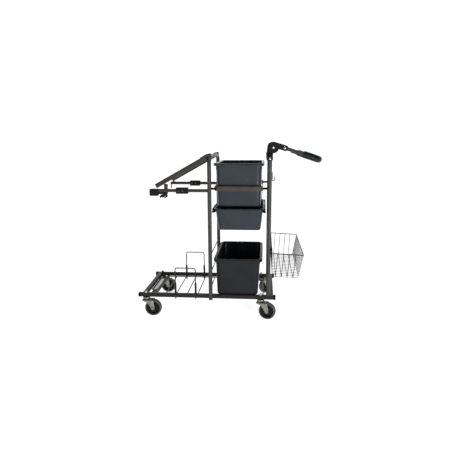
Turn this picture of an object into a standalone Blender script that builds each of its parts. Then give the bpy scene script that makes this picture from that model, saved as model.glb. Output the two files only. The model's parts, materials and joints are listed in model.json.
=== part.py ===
"""A housekeeping cart: a tubular steel base frame on four swivel casters, a bag frame at
its left end, three bins between a tall hoop and two handle posts, a folding push bow and
a wire basket at its right end. Metres, +Z up. X runs along the cart to the push bow and
Y from its front (-) to its back (+). The origin is on the floor below the box's middle."""

import math

import bmesh
import bpy
from mathutils import Matrix, Vector

# Driving dimensions. A distance named _FROM_END is along X from the rails' left ends.
LEFT_END = -0.530025
RAIL_LENGTH = 0.816
RAIL_SPACING = 0.420
RAIL_WIDTH = 0.025
RAIL_DEPTH = 0.023
RAIL_BOTTOM = 0.1185
WALL = 0.0015
GAP = 0.0003
OVERLAP = 0.002

HOOP_FROM_END = 0.437
HOOP_RADIUS = 0.0115
HOOP_TOP = 0.946
HOOP_FOOT = 0.115
HOOP_BEND = 0.050
HOOP_ROD_HEIGHTS = (0.275, 0.380)
ROD_RADIUS = 0.003

POST_FROM_END = 0.7735
POST_RADIUS = 0.012
POST_TIE_HEIGHT = 0.450
PIVOT_OFFSET = 0.018
ARM_OFFSET = 0.0165
PIVOT_HEIGHT = 0.996
JOINT_RADIUS = 0.031
JOINT_HALF_WIDTH = 0.018
ARM_DROP = 18.4
BOW_START = 0.132
BOW_REACH = 0.259
BOW_RADIUS = 0.0115
BOW_BEND = 0.045
GRIP_START = 0.180
GRIP_RADIUS = 0.018
SLIDE_RADIUS = 0.009

BIN_CENTRE_FROM_END = 0.6005
TRAY_CENTRE_FROM_END = 0.6025
BIN_WALL = 0.003
CRADLE_BOTTOM = 0.6595
STRIP = 0.003

BAG_ARM_HEIGHT = 0.759
BAG_ARM_RADIUS = 0.0095
BAG_ARM_FROM_END = {"front": 0.1352, "rear": 0.117}
STRUTS = {"front": (0.181, 0.199, 0.0361), "rear": (0.134, 0.146, 0.0116)}
STAY_FOOT = (0.131, 0.782)
STAY_SLOPE = 0.5555
STAY_DEPTH = 0.025
STAY_WIDTH = 0.020
STAY_Y = 0.218

GUARD_LEGS_FROM_END = (0.219, 0.341)
GUARD_TOP = 0.292
SOCKET_RADIUS = 0.0065

BASKET_SPAN = (0.790, 0.972)
BASKET_TOP = 0.4175
BASKET_DEPTH = 0.146
BASKET_TILT = 3.0
BASKET_HALF_LENGTH = 0.284

CASTER_FROM_END = (0.045, 0.731)
CASTER_TRAIL = 0.040
WHEEL_RADIUS = 0.050
CORE_RADIUS = 0.041
WHEEL_HALF_WIDTH = 0.015
AXLE_RADIUS = 0.004

RAIL_TOP = RAIL_BOTTOM + RAIL_DEPTH
RAIL_HEIGHT = RAIL_BOTTOM + RAIL_DEPTH / 2
RAIL_Y = RAIL_SPACING / 2
RAIL_INNER_Y = RAIL_Y - RAIL_WIDTH / 2
HOOP_Y = RAIL_Y + RAIL_WIDTH / 2 + HOOP_RADIUS + GAP
SIDES = {"front": -1, "rear": 1}

for old in list(bpy.data.objects):
    bpy.data.objects.remove(old)
parts = bpy.data.collections.new("housekeeping_cart")
cutters = bpy.data.collections.new("cutters")
for collection in (parts, cutters):
    bpy.context.scene.collection.children.link(collection)


def x_at(from_end):
    """The X of a distance from the rails' left ends."""
    return LEFT_END + from_end


def finish(obj, colour, roughness, metallic=0.0):
    """Gives a part its own material and smooth shading between its sharp edges."""
    material = bpy.data.materials.new(obj.name)
    material.use_nodes = True
    shader = material.node_tree.nodes["Principled BSDF"]
    shader.inputs["Base Color"].default_value = (*colour, 1)
    shader.inputs["Roughness"].default_value = roughness
    shader.inputs["Metallic"].default_value = metallic
    obj.data.materials.append(material)
    obj.data.shade_smooth()
    obj.data.set_sharp_from_angle(angle=math.radians(35))
    return obj


def coated(obj):
    return finish(obj, (0.11, 0.10, 0.10), 0.45, 0.3)


def black(obj):
    return finish(obj, (0.012, 0.013, 0.014), 0.5)


def zinc(obj):
    return finish(obj, (0.42, 0.42, 0.38), 0.35, 0.9)


def plastic(obj, colour):
    return finish(obj, colour, 0.4)


def new_object(name, mesh, location=(0, 0, 0), parent=None):
    obj = bpy.data.objects.new(name, mesh)
    parts.objects.link(obj)
    obj.location = location
    obj.parent = parent
    return obj


def from_bmesh(name, bm, location=(0, 0, 0), parent=None):
    mesh = bpy.data.meshes.new(name)
    bm.to_mesh(mesh)
    bm.free()
    return new_object(name, mesh, location, parent)


def box(name, low, high, location=(0, 0, 0), parent=None, bevel=0.0):
    """A block between two corners, with its edges rounded if bevel is given."""
    low, high = Vector(low), Vector(high)
    bm = bmesh.new()
    bmesh.ops.create_cube(bm, size=1)
    bmesh.ops.scale(bm, verts=bm.verts, vec=high - low)
    bmesh.ops.translate(bm, verts=bm.verts, vec=(low + high) / 2)
    if bevel:
        bmesh.ops.bevel(bm, geom=bm.edges, offset=bevel, segments=2, profile=0.5, affect="EDGES")
    return from_bmesh(name, bm, location, parent)


def cylinder(name, radius, start, end, segments=16, location=(0, 0, 0), parent=None):
    """A solid round bar between two points."""
    start, end = Vector(start), Vector(end)
    bm = bmesh.new()
    bmesh.ops.create_cone(
        bm, cap_ends=True, segments=segments, radius1=radius, radius2=radius, depth=(end - start).length
    )
    turn = (end - start).to_track_quat("Z", "Y").to_matrix()
    bmesh.ops.rotate(bm, verts=bm.verts, matrix=turn)
    bmesh.ops.translate(bm, verts=bm.verts, vec=(start + end) / 2)
    return from_bmesh(name, bm, location, parent)


def swept(name, points, radius, capped, sides, location, parent):
    """A round section along a line of points, as a mesh whose caps are welded on."""
    curve = bpy.data.curves.new(name, "CURVE")
    curve.dimensions = "3D"
    curve.bevel_depth = radius
    curve.bevel_resolution = sides // 2 - 2
    curve.use_fill_caps = capped
    line = curve.splines.new("POLY")
    line.points.add(len(points) - 1)
    for point, place in zip(line.points, points):
        point.co = (*place, 1)
    guide = bpy.data.objects.new(name, curve)
    cutters.objects.link(guide)
    bpy.context.view_layer.update()
    graph = bpy.context.evaluated_depsgraph_get()
    mesh = bpy.data.meshes.new_from_object(guide.evaluated_get(graph))
    bpy.data.objects.remove(guide)
    bm = bmesh.new()
    bm.from_mesh(mesh)
    bmesh.ops.remove_doubles(bm, verts=bm.verts, dist=0.00001)
    bm.to_mesh(mesh)
    bm.free()
    mesh.name = name
    return new_object(name, mesh, location, parent)


def wire(name, points, radius, sides=8, location=(0, 0, 0), parent=None):
    """A solid round wire along a line of points."""
    return swept(name, points, radius, True, sides, location, parent)


def wall_inward(obj, thickness):
    """Gives an open surface its wall, on the inner side."""
    solidify = obj.modifiers.new("wall", "SOLIDIFY")
    solidify.thickness = thickness
    solidify.offset = -1
    solidify.use_even_offset = True
    return obj


def tube(name, points, radius, wall=WALL, sides=12, location=(0, 0, 0), parent=None):
    """A round tube along a line of points, open at both ends."""
    return wall_inward(swept(name, points, radius, False, sides, location, parent), wall)


def square_tube(name, axis, length, width, height, location, parent=None):
    """A rectangular tube along X or Y about its own middle, open at both ends."""
    size = Vector((length, width, height) if axis == 0 else (width, length, height))
    bm = bmesh.new()
    bmesh.ops.create_cube(bm, size=1)
    bmesh.ops.scale(bm, verts=bm.verts, vec=size)
    ends = [face for face in bm.faces if abs(face.normal[axis]) > 0.5]
    bmesh.ops.delete(bm, geom=ends, context="FACES_ONLY")
    return wall_inward(from_bmesh(name, bm, location, parent), WALL)


def flat_outline(name, outline, half_thickness, location=(0, 0, 0), parent=None):
    """A flat piece from an outline of (X, Z) points, extruded along Y both ways."""
    curve = bpy.data.curves.new(name, "CURVE")
    curve.dimensions = "2D"
    curve.fill_mode = "BOTH"
    curve.extrude = half_thickness
    line = curve.splines.new("POLY")
    line.points.add(len(outline) - 1)
    line.use_cyclic_u = True
    for point, (x, z) in zip(line.points, outline):
        point.co = (x, z, 0, 1)
    guide = bpy.data.objects.new(name, curve)
    cutters.objects.link(guide)
    bpy.context.view_layer.update()
    graph = bpy.context.evaluated_depsgraph_get()
    mesh = bpy.data.meshes.new_from_object(guide.evaluated_get(graph))
    bpy.data.objects.remove(guide)
    bm = bmesh.new()
    bm.from_mesh(mesh)
    bmesh.ops.remove_doubles(bm, verts=bm.verts, dist=0.00001)
    for vert in bm.verts:
        vert.co = (vert.co.x, -vert.co.z, vert.co.y)
    bmesh.ops.recalc_face_normals(bm, faces=bm.faces)
    bm.to_mesh(mesh)
    bm.free()
    return new_object(name, mesh, location, parent)


def turned(name, profile, segments, parent):
    """A closed profile of (radius, Y) points turned about its parent's Y axis."""
    bm = bmesh.new()
    verts = [bm.verts.new((radius, 0, height)) for radius, height in profile]
    for first, second in zip(verts, verts[1:] + verts[:1]):
        bm.edges.new((first, second))
    obj = from_bmesh(name, bm, parent=parent)
    obj.rotation_euler.x = math.radians(90)
    screw = obj.modifiers.new("turn", "SCREW")
    screw.axis = "Z"
    screw.steps = screw.render_steps = segments
    screw.use_merge_vertices = True
    screw.merge_threshold = 0.00001
    return obj


def combine(obj, other, operation):
    """Joins or cuts obj with a helper, which then stays out of the model."""
    parts.objects.unlink(other)
    cutters.objects.link(other)
    other.hide_render = True
    other.display_type = "WIRE"
    boolean = obj.modifiers.new(other.name, "BOOLEAN")
    boolean.operation = operation
    boolean.object = other
    return obj


def arc(centre, radius, start, end, steps):
    """Points of an arc in a plane, from start to end in degrees."""
    turns = [math.radians(start + (end - start) * i / steps) for i in range(steps + 1)]
    return [(centre[0] + radius * math.cos(a), centre[1] + radius * math.sin(a)) for a in turns]


def rounded_ring(bm, centre_x, half_x, half_y, radius, height, steps=4):
    """One level of a shell: a rectangle with round corners, going counter-clockwise."""
    ring = []
    for sign_x, sign_y, start in ((1, 1, 0), (-1, 1, 90), (-1, -1, 180), (1, -1, 270)):
        centre = (centre_x + sign_x * (half_x - radius), sign_y * (half_y - radius))
        corner = arc(centre, radius, start, start + 90, steps)
        ring += [bm.verts.new((x, y, height)) for x, y in corner]
    return ring


def shell(name, levels, wall, bottom=True, parent=None):
    """A shell through (centre X, half X, half Y, corner radius, height) levels, from below."""
    bm = bmesh.new()
    rings = [rounded_ring(bm, *level) for level in levels]
    for lower, upper in zip(rings, rings[1:]):
        for i in range(len(lower)):
            after = (i + 1) % len(lower)
            bm.faces.new((lower[i], lower[after], upper[after], upper[i]))
    if bottom:
        bm.faces.new(reversed(rings[0]))
    return wall_inward(from_bmesh(name, bm, parent=parent), wall)


def pivot_empty(name, location, turn_y=0.0, turn_z=0.0, parent=None):
    """An empty on a joint's axis, which its moving pieces are parented to."""
    empty = bpy.data.objects.new(name, None)
    parts.objects.link(empty)
    empty.location = location
    empty.rotation_euler = (0, math.radians(turn_y), math.radians(turn_z))
    empty.parent = parent
    return empty


def make_base():
    """Two long rails, two cross rails, the left brace and the wire deck."""
    for side, sign in SIDES.items():
        place = (x_at(RAIL_LENGTH / 2), sign * RAIL_Y, RAIL_HEIGHT)
        coated(square_tube(f"base_rail_{side}", 0, RAIL_LENGTH, RAIL_WIDTH, RAIL_DEPTH, place))
    reach = RAIL_INNER_Y - GAP
    for end, from_end in (("left", 0.032), ("right", 0.792)):
        place = (x_at(from_end), 0, RAIL_HEIGHT)
        coated(square_tube(f"base_cross_{end}", 1, 2 * reach, RAIL_WIDTH, RAIL_DEPTH, place))

    low, high = (x_at(0.056), -0.186, 0.116), (x_at(0.086), 0.186, 0.120)
    brace = box("caster_brace", low, high)
    flange = (x_at(0.0445) + GAP, -0.092, 0.116), (x_at(0.060), 0.135, 0.120)
    combine(brace, box("brace_flange", *flange), "UNION")
    ends = (x_at(0.090), -reach, 0.118), (x_at(0.090), reach, 0.118)
    coated(combine(brace, cylinder("brace_bar", 0.008, *ends, 12), "UNION"))

    first_rod, pitch, rods, deck_height = 0.150, 0.066, 10, 0.1175
    wire_y, wire_height = 0.1765, deck_height + 0.004
    left, right = x_at(0.0985), x_at(0.792) - RAIL_WIDTH / 2 - 2 * GAP
    deck = cylinder("deck_grid", 0.0025, (left, -wire_y, wire_height), (right, -wire_y, wire_height), 8)
    far_wire = cylinder("deck_far_wire", 0.0025, (left, wire_y, wire_height), (right, wire_y, wire_height), 8)
    combine(deck, far_wire, "UNION")
    for i in range(rods):
        x, end = x_at(first_rod + pitch * i), wire_y + 0.0028
        rod = cylinder(f"deck_rod_{i}", 0.0028, (x, -end, deck_height), (x, end, deck_height), 8)
        combine(deck, rod, "UNION")
    coated(deck)


def make_guards():
    """Two wire loops that lift out of sockets on the rails' inner faces."""
    bend, foot = 0.012, 0.100
    socket_y = RAIL_INNER_Y - SOCKET_RADIUS - GAP
    left, right = (x_at(leg) for leg in GUARD_LEGS_FROM_END)
    path = [(left, foot)]
    path += arc((left + bend, GUARD_TOP - bend), bend, 180, 90, 3)
    path += arc((right - bend, GUARD_TOP - bend), bend, 90, 0, 3)
    path += [(right, foot)]
    for side, sign in SIDES.items():
        y = sign * socket_y
        points = [(x, 0, z) for x, z in path]
        zinc_loop = wire(f"guard_loop_{side}", points, ROD_RADIUS, location=(0, y, 0))
        coated(zinc_loop)
        for end, x in (("left", left), ("right", right)):
            name = f"guard_socket_{side}_{end}"
            coated(tube(name, [(0, 0, 0.112), (0, 0, 0.200)], SOCKET_RADIUS, 0.0022, location=(x, y, 0)))


def make_hoop():
    """The tall hoop across the cart, and the two rods that tie its legs."""
    x = x_at(HOOP_FROM_END)
    bend_height = HOOP_TOP - HOOP_BEND
    path = [(-HOOP_Y, HOOP_FOOT)]
    path += arc((-HOOP_Y + HOOP_BEND, bend_height), HOOP_BEND, 180, 90, 5)
    path += arc((HOOP_Y - HOOP_BEND, bend_height), HOOP_BEND, 90, 0, 5)
    path += [(HOOP_Y, HOOP_FOOT)]
    coated(tube("mid_hoop", [(0, y, z) for y, z in path], HOOP_RADIUS, location=(x, 0, 0)))
    end = HOOP_Y - HOOP_RADIUS - GAP
    for name, height in zip(("lower", "upper"), HOOP_ROD_HEIGHTS):
        rod = cylinder(f"hoop_rod_{name}", ROD_RADIUS, (0, -end, 0), (0, end, 0), 8, (x, 0, height))
        coated(rod)


def make_posts():
    """The two handle posts, the tube that ties them, and the coat hook."""
    x = x_at(POST_FROM_END)
    post_top = PIVOT_HEIGHT - JOINT_RADIUS - 0.010
    for side, sign in SIDES.items():
        place = (x, sign * RAIL_Y, 0)
        coated(tube(f"handle_post_{side}", [(0, 0, RAIL_TOP + GAP), (0, 0, post_top)], POST_RADIUS, location=place))
    end = RAIL_Y - POST_RADIUS - GAP
    coated(tube("post_cross_tube", [(0, -end, 0), (0, end, 0)], 0.010, location=(x, 0, POST_TIE_HEIGHT)))

    face = (x + POST_RADIUS + GAP, -RAIL_Y, 0.858)
    line = [(0.0021, 0.001), (0.0021, -0.040)]
    line += arc((0.0061, -0.040), 0.004, 180, 360, 6) + [(0.0101, -0.029)]
    hook = wire("post_hook", [(px, 0, pz) for px, pz in line], 0.0015, location=face)
    boss = cylinder("hook_boss", 0.0055, (0.0003, 0, 0), (0.0045, 0, 0), 12, face)
    zinc(combine(hook, boss, "UNION"))


def joint_halves(side, sign, arm_pivot):
    """The two moulded halves of one handle joint, and the bolt that they turn on."""
    pivot = (x_at(POST_FROM_END) + PIVOT_OFFSET, sign * RAIL_Y, PIVOT_HEIGHT)
    half, neck = JOINT_HALF_WIDTH, POST_RADIUS + 0.0055
    inner = sorted((-sign * GAP, -sign * half))
    outer = sorted((sign * GAP, sign * half))
    foot, shoulder = 0.925 - PIVOT_HEIGHT, -JOINT_RADIUS - 0.005
    hole = AXLE_RADIUS + 0.0005

    low, high = (-PIVOT_OFFSET - neck, -half, foot), (-PIVOT_OFFSET + neck, half, shoulder)
    base = box(f"joint_base_{side}", low, high, pivot)
    disc = cylinder(f"base_disc_{side}", JOINT_RADIUS, (0, inner[0], 0), (0, inner[1], 0), 24, pivot)
    combine(base, disc, "UNION")
    web_low = (-PIVOT_OFFSET - neck + 0.001, inner[0], shoulder - OVERLAP)
    web = box(f"base_web_{side}", web_low, (-PIVOT_OFFSET + neck - 0.001, inner[1], 0), pivot)
    combine(base, web, "UNION")
    post_bore = (-PIVOT_OFFSET, 0, foot - OVERLAP), (-PIVOT_OFFSET, 0, -JOINT_RADIUS - 0.0095)
    combine(base, cylinder(f"post_bore_{side}", POST_RADIUS + 0.0005, *post_bore, 16, pivot), "DIFFERENCE")
    bolt_bore = (0, -2 * half, 0), (0, 2 * half, 0)
    combine(base, cylinder(f"base_bolt_bore_{side}", hole, *bolt_bore, 12, pivot), "DIFFERENCE")
    black(base)

    local = (0, sign * RAIL_Y, 0)
    low, high = ARM_OFFSET - 0.015, ARM_OFFSET + 0.015
    neck_start, neck_end = JOINT_RADIUS + 0.003, 0.0813
    arm = box(f"joint_arm_{side}", (neck_start, -half, low), (neck_end, half, high), local, arm_pivot)
    ends = (0, outer[0], 0), (0, outer[1], 0)
    disc = cylinder(f"arm_disc_{side}", JOINT_RADIUS, *ends, 24, local, arm_pivot)
    combine(arm, disc, "UNION")
    web_ends = (0, outer[0], low + 0.001), (neck_start + OVERLAP, outer[1], high - 0.002)
    combine(arm, box(f"arm_web_{side}", *web_ends, local, arm_pivot), "UNION")
    slide_bore = (0.045, 0, ARM_OFFSET), (neck_end + OVERLAP, 0, ARM_OFFSET)
    bore = cylinder(f"slide_bore_{side}", SLIDE_RADIUS + 0.0005, *slide_bore, 16, local, arm_pivot)
    combine(arm, bore, "DIFFERENCE")
    bore = cylinder(f"arm_bolt_bore_{side}", hole, *bolt_bore, 12, local, arm_pivot)
    combine(arm, bore, "DIFFERENCE")
    black(arm)

    reach = half + 0.0008
    bolt = cylinder(f"pivot_bolt_{side}", AXLE_RADIUS, (0, -reach, 0), (0, reach, 0), 12, pivot)
    for end in (-1, 1):
        head = (0, end * (half + GAP), 0), (0, end * (reach + 0.003), 0)
        combine(bolt, cylinder(f"bolt_head_{side}_{end}", 0.0075, *head, 12, pivot), "UNION")
    zinc(bolt)


def make_handle():
    """The folding push bow: its joints, the slide tubes in them, the bow and its grip."""
    place = (x_at(POST_FROM_END) + PIVOT_OFFSET, 0, PIVOT_HEIGHT)
    arm_pivot = pivot_empty("handle_pivot", place, turn_y=ARM_DROP)
    for side, sign in SIDES.items():
        joint_halves(side, sign, arm_pivot)
        slide = [(0.0453, sign * RAIL_Y, ARM_OFFSET), (0.172, sign * RAIL_Y, ARM_OFFSET)]
        coated(tube(f"slide_tube_{side}", slide, SLIDE_RADIUS, parent=arm_pivot))

    def bow_path(start):
        middle_x, middle_y = BOW_REACH - BOW_BEND, RAIL_Y - BOW_BEND
        path = [(start, -RAIL_Y)]
        path += arc((middle_x, -middle_y), BOW_BEND, -90, 0, 5)
        path += arc((middle_x, middle_y), BOW_BEND, 0, 90, 5)
        path += [(start, RAIL_Y)]
        return [(x, y, ARM_OFFSET) for x, y in path]

    coated(tube("handle_bow", bow_path(BOW_START), BOW_RADIUS, 0.001, parent=arm_pivot))
    wall = GRIP_RADIUS - BOW_RADIUS - 0.0005
    black(tube("handle_grip", bow_path(GRIP_START), GRIP_RADIUS, wall, parent=arm_pivot))


def bin_shell(name, rim, foot, skirt, colour):
    """A tapered bin with round corners, a flange round its rim and a turned-down lip. Rim
    and foot are each (centre from the rails' ends, half X, half Y, height)."""
    rim_x, rim_half_x, rim_half_y, top = rim
    foot_x, foot_half_x, foot_half_y, floor = foot
    rim_x, foot_x, edge, lip = x_at(rim_x), x_at(foot_x), 0.008, 0.009
    half_x, half_y = rim_half_x - lip - BIN_WALL, rim_half_y - lip - BIN_WALL
    levels = [
        (foot_x, foot_half_x - edge, foot_half_y - edge, 0.022, floor),
        (foot_x, foot_half_x, foot_half_y, 0.026, floor + edge),
        (rim_x, half_x, half_y, 0.030, top),
        (rim_x, half_x + lip, half_y + lip, 0.034, top),
        (rim_x, half_x + lip, half_y + lip, 0.034, top - skirt),
    ]
    return plastic(shell(name, levels, BIN_WALL), colour)


def make_bins():
    """The top bin in its cradle, the tray on its runners and the large bin on the rails."""
    slate, charcoal = (0.045, 0.062, 0.075), (0.030, 0.033, 0.036)
    seat = CRADLE_BOTTOM + STRIP + 2 * GAP
    bin_shell("top_bin", (0.6005, 0.1405, 0.232, 0.905), (0.602, 0.1225, 0.200, seat), 0.012, slate)
    tray_rim = (TRAY_CENTRE_FROM_END, 0.1465, 0.232, 0.650)
    bin_shell("middle_tray", tray_rim, (0.603, 0.122, 0.200, 0.528), 0.0105, slate)
    floor = RAIL_TOP + GAP
    bin_shell("lower_bin", (0.596, 0.140, 0.236, 0.357), (0.5925, 0.1205, 0.209, floor), 0.013, charcoal)


def make_cradle():
    """The flat-bar ring round the top bin with two straps under it, and the tray's runners."""
    centre = x_at(BIN_CENTRE_FROM_END)
    low, high, half_x, half_y = 0.757, 0.783, 0.1365, 0.232
    levels = [(centre, half_x, half_y, 0.014, low), (centre, half_x, half_y, 0.014, high)]
    ring = shell("bin_cradle", levels, 0.004, bottom=False)
    tray_centre, reach = x_at(TRAY_CENTRE_FROM_END), 0.150
    under, over, knee = CRADLE_BOTTOM, CRADLE_BOTTOM + STRIP, 0.761
    outline = [(-reach, under), (reach, under), (reach, over), (0.1260, over)]
    outline += [(0.1335, knee), (0.1305, knee), (0.1230, over), (-0.1235, over)]
    outline += [(-0.1370, knee), (-0.1400, knee), (-0.1265, over), (-reach, over)]
    for side, sign in SIDES.items():
        strap = flat_outline(f"strap_{side}", outline, 0.010, (tray_centre, sign * 0.120, 0))
        combine(ring, strap, "UNION")
        y, z = sign * 0.2295, (low + high) / 2
        peg = (x_at(HOOP_FROM_END) + HOOP_RADIUS + GAP, y, z), (centre - half_x + 0.016, y, z)
        combine(ring, cylinder(f"left_peg_{side}", 0.0048, *peg, 10), "UNION")
        y = sign * 0.212
        peg = (centre + half_x - 0.002, y, z), (x_at(POST_FROM_END) - POST_RADIUS - GAP, y, z)
        combine(ring, cylinder(f"right_peg_{side}", 0.0048, *peg, 10), "UNION")
    coated(ring)

    web, shelf, low = 0.147, 0.1345, 0.636
    for end, sign in (("left", -1), ("right", 1)):
        outline = [(web, under - GAP), (web, low + STRIP), (shelf, low + STRIP), (shelf, low)]
        outline += [(reach, low), (reach, under - GAP)]
        outline = [(sign * x, z) for x, z in outline]
        coated(flat_outline(f"tray_runner_{end}", outline, 0.2175, (tray_centre, -0.0175, 0)))


def make_stay(side, sign):
    """A rectangular stay that slopes up to a flat tab bolted over the hoop's top tube."""
    foot_x, foot_z = STAY_FOOT
    slope = math.atan(STAY_SLOPE)
    length = 0.345
    x = x_at(foot_x) + length / 2 * math.cos(slope)
    place = (x, sign * STAY_Y, foot_z + length / 2 * math.sin(slope))
    stay = square_tube(f"bag_stay_{side}", 0, length, STAY_WIDTH, STAY_DEPTH, place)
    stay.rotation_euler.y = -slope
    hoop_x, top = x_at(HOOP_FROM_END), HOOP_TOP + HOOP_RADIUS + GAP
    cut = hoop_x - HOOP_RADIUS - 2 * GAP
    low, high = (cut, sign * STAY_Y - 0.05, 0.85), (cut + 0.1, sign * STAY_Y + 0.05, 1.05)
    combine(stay, box(f"stay_cut_{side}", low, high), "DIFFERENCE")
    rise = foot_z - x_at(foot_x) * STAY_SLOPE + STAY_DEPTH / 2 / math.cos(slope)
    back, bend, tip = x_at(0.385), (top - rise) / STAY_SLOPE, hoop_x + 0.014
    outline = [(back, back * STAY_SLOPE + rise - 0.002), (bend + 0.002, top), (tip, top)]
    outline += [(tip, top + 0.004), (bend, top + 0.004), (back, back * STAY_SLOPE + rise + 0.003)]
    tab = flat_outline(f"stay_tab_{side}", outline, 0.021, (0, sign * (STAY_Y - 0.008), 0))
    coated(combine(stay, tab, "UNION"))


def make_bag_frame():
    """Two arms that carry the bag, the stays above them, and their couplings."""
    end = x_at(HOOP_FROM_END) - HOOP_RADIUS - GAP
    for side, sign in SIDES.items():
        start = x_at(BAG_ARM_FROM_END[side])
        place = (0, sign * HOOP_Y, BAG_ARM_HEIGHT)
        arm = tube(f"bag_arm_{side}", [(start, 0, 0), (end, 0, 0)], BAG_ARM_RADIUS, location=place)
        inner, outer = sorted((-sign * 0.016, sign * 0.006))
        from_end, to_end, tall = STRUTS[side]
        low, high = (x_at(from_end), inner, BAG_ARM_RADIUS - 0.001), (x_at(to_end), outer, tall)
        combine(arm, box(f"strut_{side}", low, high, place), "UNION")
        if side == "rear":
            low, high = (start - 0.001, -0.006, -0.033), (start + 0.005, 0.006, 0.004)
            combine(arm, box("arm_lug", low, high, place), "UNION")
        coated(arm)
        make_stay(side, sign)
        low, high = (x_at(0.249), -0.017, -0.017), (x_at(0.317), 0.017, 0.017)
        coupling = box(f"arm_coupling_{side}", low, high, place, bevel=0.003)
        ends = (x_at(0.2), 0, 0), (x_at(0.4), 0, 0)
        bore = cylinder(f"coupling_bore_{side}", BAG_ARM_RADIUS + 0.0005, *ends, 12, place)
        black(combine(coupling, bore, "DIFFERENCE"))


def make_tool_clip():
    """The moulded clip on the front arm's end, with the jaw that swings under it."""
    place = (0, -HOOP_Y, 0)
    clip = box("tool_clip_body", (x_at(0.098), -0.017, 0.729), (x_at(0.147), 0.017, 0.768), place, bevel=0.004)
    tongue = box("clip_tongue", (x_at(0.140), -0.011, 0.7405), (x_at(0.200), 0.011, 0.7484), place)
    combine(clip, tongue, "UNION")
    pivot_x, pivot_z = x_at(0.188), 0.7290
    for side, sign in SIDES.items():
        inner, outer = sorted((sign * 0.0084, sign * 0.0108))
        low, high = (pivot_x - 0.005, inner, pivot_z - 0.005), (pivot_x + 0.005, outer, 0.742)
        combine(clip, box(f"clip_cheek_{side}", low, high, place), "UNION")
    ends = (pivot_x, -0.0100, pivot_z), (pivot_x, 0.0100, pivot_z)
    combine(clip, cylinder("clip_pin", 0.002, *ends, 10, place), "UNION")
    ends = (x_at(0.1347), 0, BAG_ARM_HEIGHT), (x_at(0.150), 0, BAG_ARM_HEIGHT)
    bore = cylinder("clip_bore", BAG_ARM_RADIUS + 0.0005, *ends, 12, place)
    black(combine(clip, bore, "DIFFERENCE"))

    outline = arc((0, 0), 0.0095, -90, 110, 6)
    outline += [(-0.024, 0.0045), (-0.0325, -0.0105), (-0.0285, -0.0125), (-0.0165, -0.004)]
    pivot = (pivot_x, -HOOP_Y, pivot_z)
    jaw = flat_outline("tool_clip_jaw", outline, 0.008, pivot)
    hole = cylinder("jaw_hole", 0.0025, (0, -0.02, 0), (0, 0.02, 0), 10, pivot)
    black(combine(jaw, hole, "DIFFERENCE"))


def make_basket():
    """The side basket as a plain tapered shell of its wires' outer size, which leans out a little."""
    low, high = (x_at(span) for span in BASKET_SPAN)
    foot_low, foot_high = low + 0.010, high - 0.021
    levels = [
        ((foot_low + foot_high) / 2, (foot_high - foot_low) / 2, BASKET_HALF_LENGTH - 0.021, 0.012, BASKET_TOP - BASKET_DEPTH),
        ((low + high) / 2, (high - low) / 2, BASKET_HALF_LENGTH, 0.016, BASKET_TOP),
    ]
    basket = zinc(shell("wire_basket", levels, 0.004))
    hung_from = Matrix.Translation((low, 0, BASKET_TOP))
    lean = Matrix.Rotation(math.radians(BASKET_TILT), 4, "Y")
    basket.data.transform(hung_from @ lean @ hung_from.inverted())


def make_wheel(corner, axle):
    """A caster's hard core and the soft tyre round it, turned about the axle."""
    bore, half = AXLE_RADIUS + 0.0006, WHEEL_HALF_WIDTH
    core = [(bore, half + 0.002), (bore, -half - 0.002), (0.013, -half - 0.002), (0.015, -0.008)]
    core += [(0.030, -0.008), (0.033, -half + 0.001), (CORE_RADIUS, -half + 0.001)]
    core += [(CORE_RADIUS, half - 0.001), (0.033, half - 0.001), (0.030, 0.008), (0.015, 0.008)]
    core += [(0.013, half + 0.002)]
    black(turned(f"wheel_core_{corner}", core[::-1], 24, axle))
    inner = CORE_RADIUS + GAP
    tyre = [(inner, half), (inner, -half), (WHEEL_RADIUS - 0.004, -half), (WHEEL_RADIUS, -half + 0.006)]
    tyre += [(WHEEL_RADIUS, half - 0.006), (WHEEL_RADIUS - 0.004, half)]
    finish(turned(f"tyre_{corner}", tyre[::-1], 24, axle), (0.32, 0.34, 0.34), 0.7)


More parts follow.
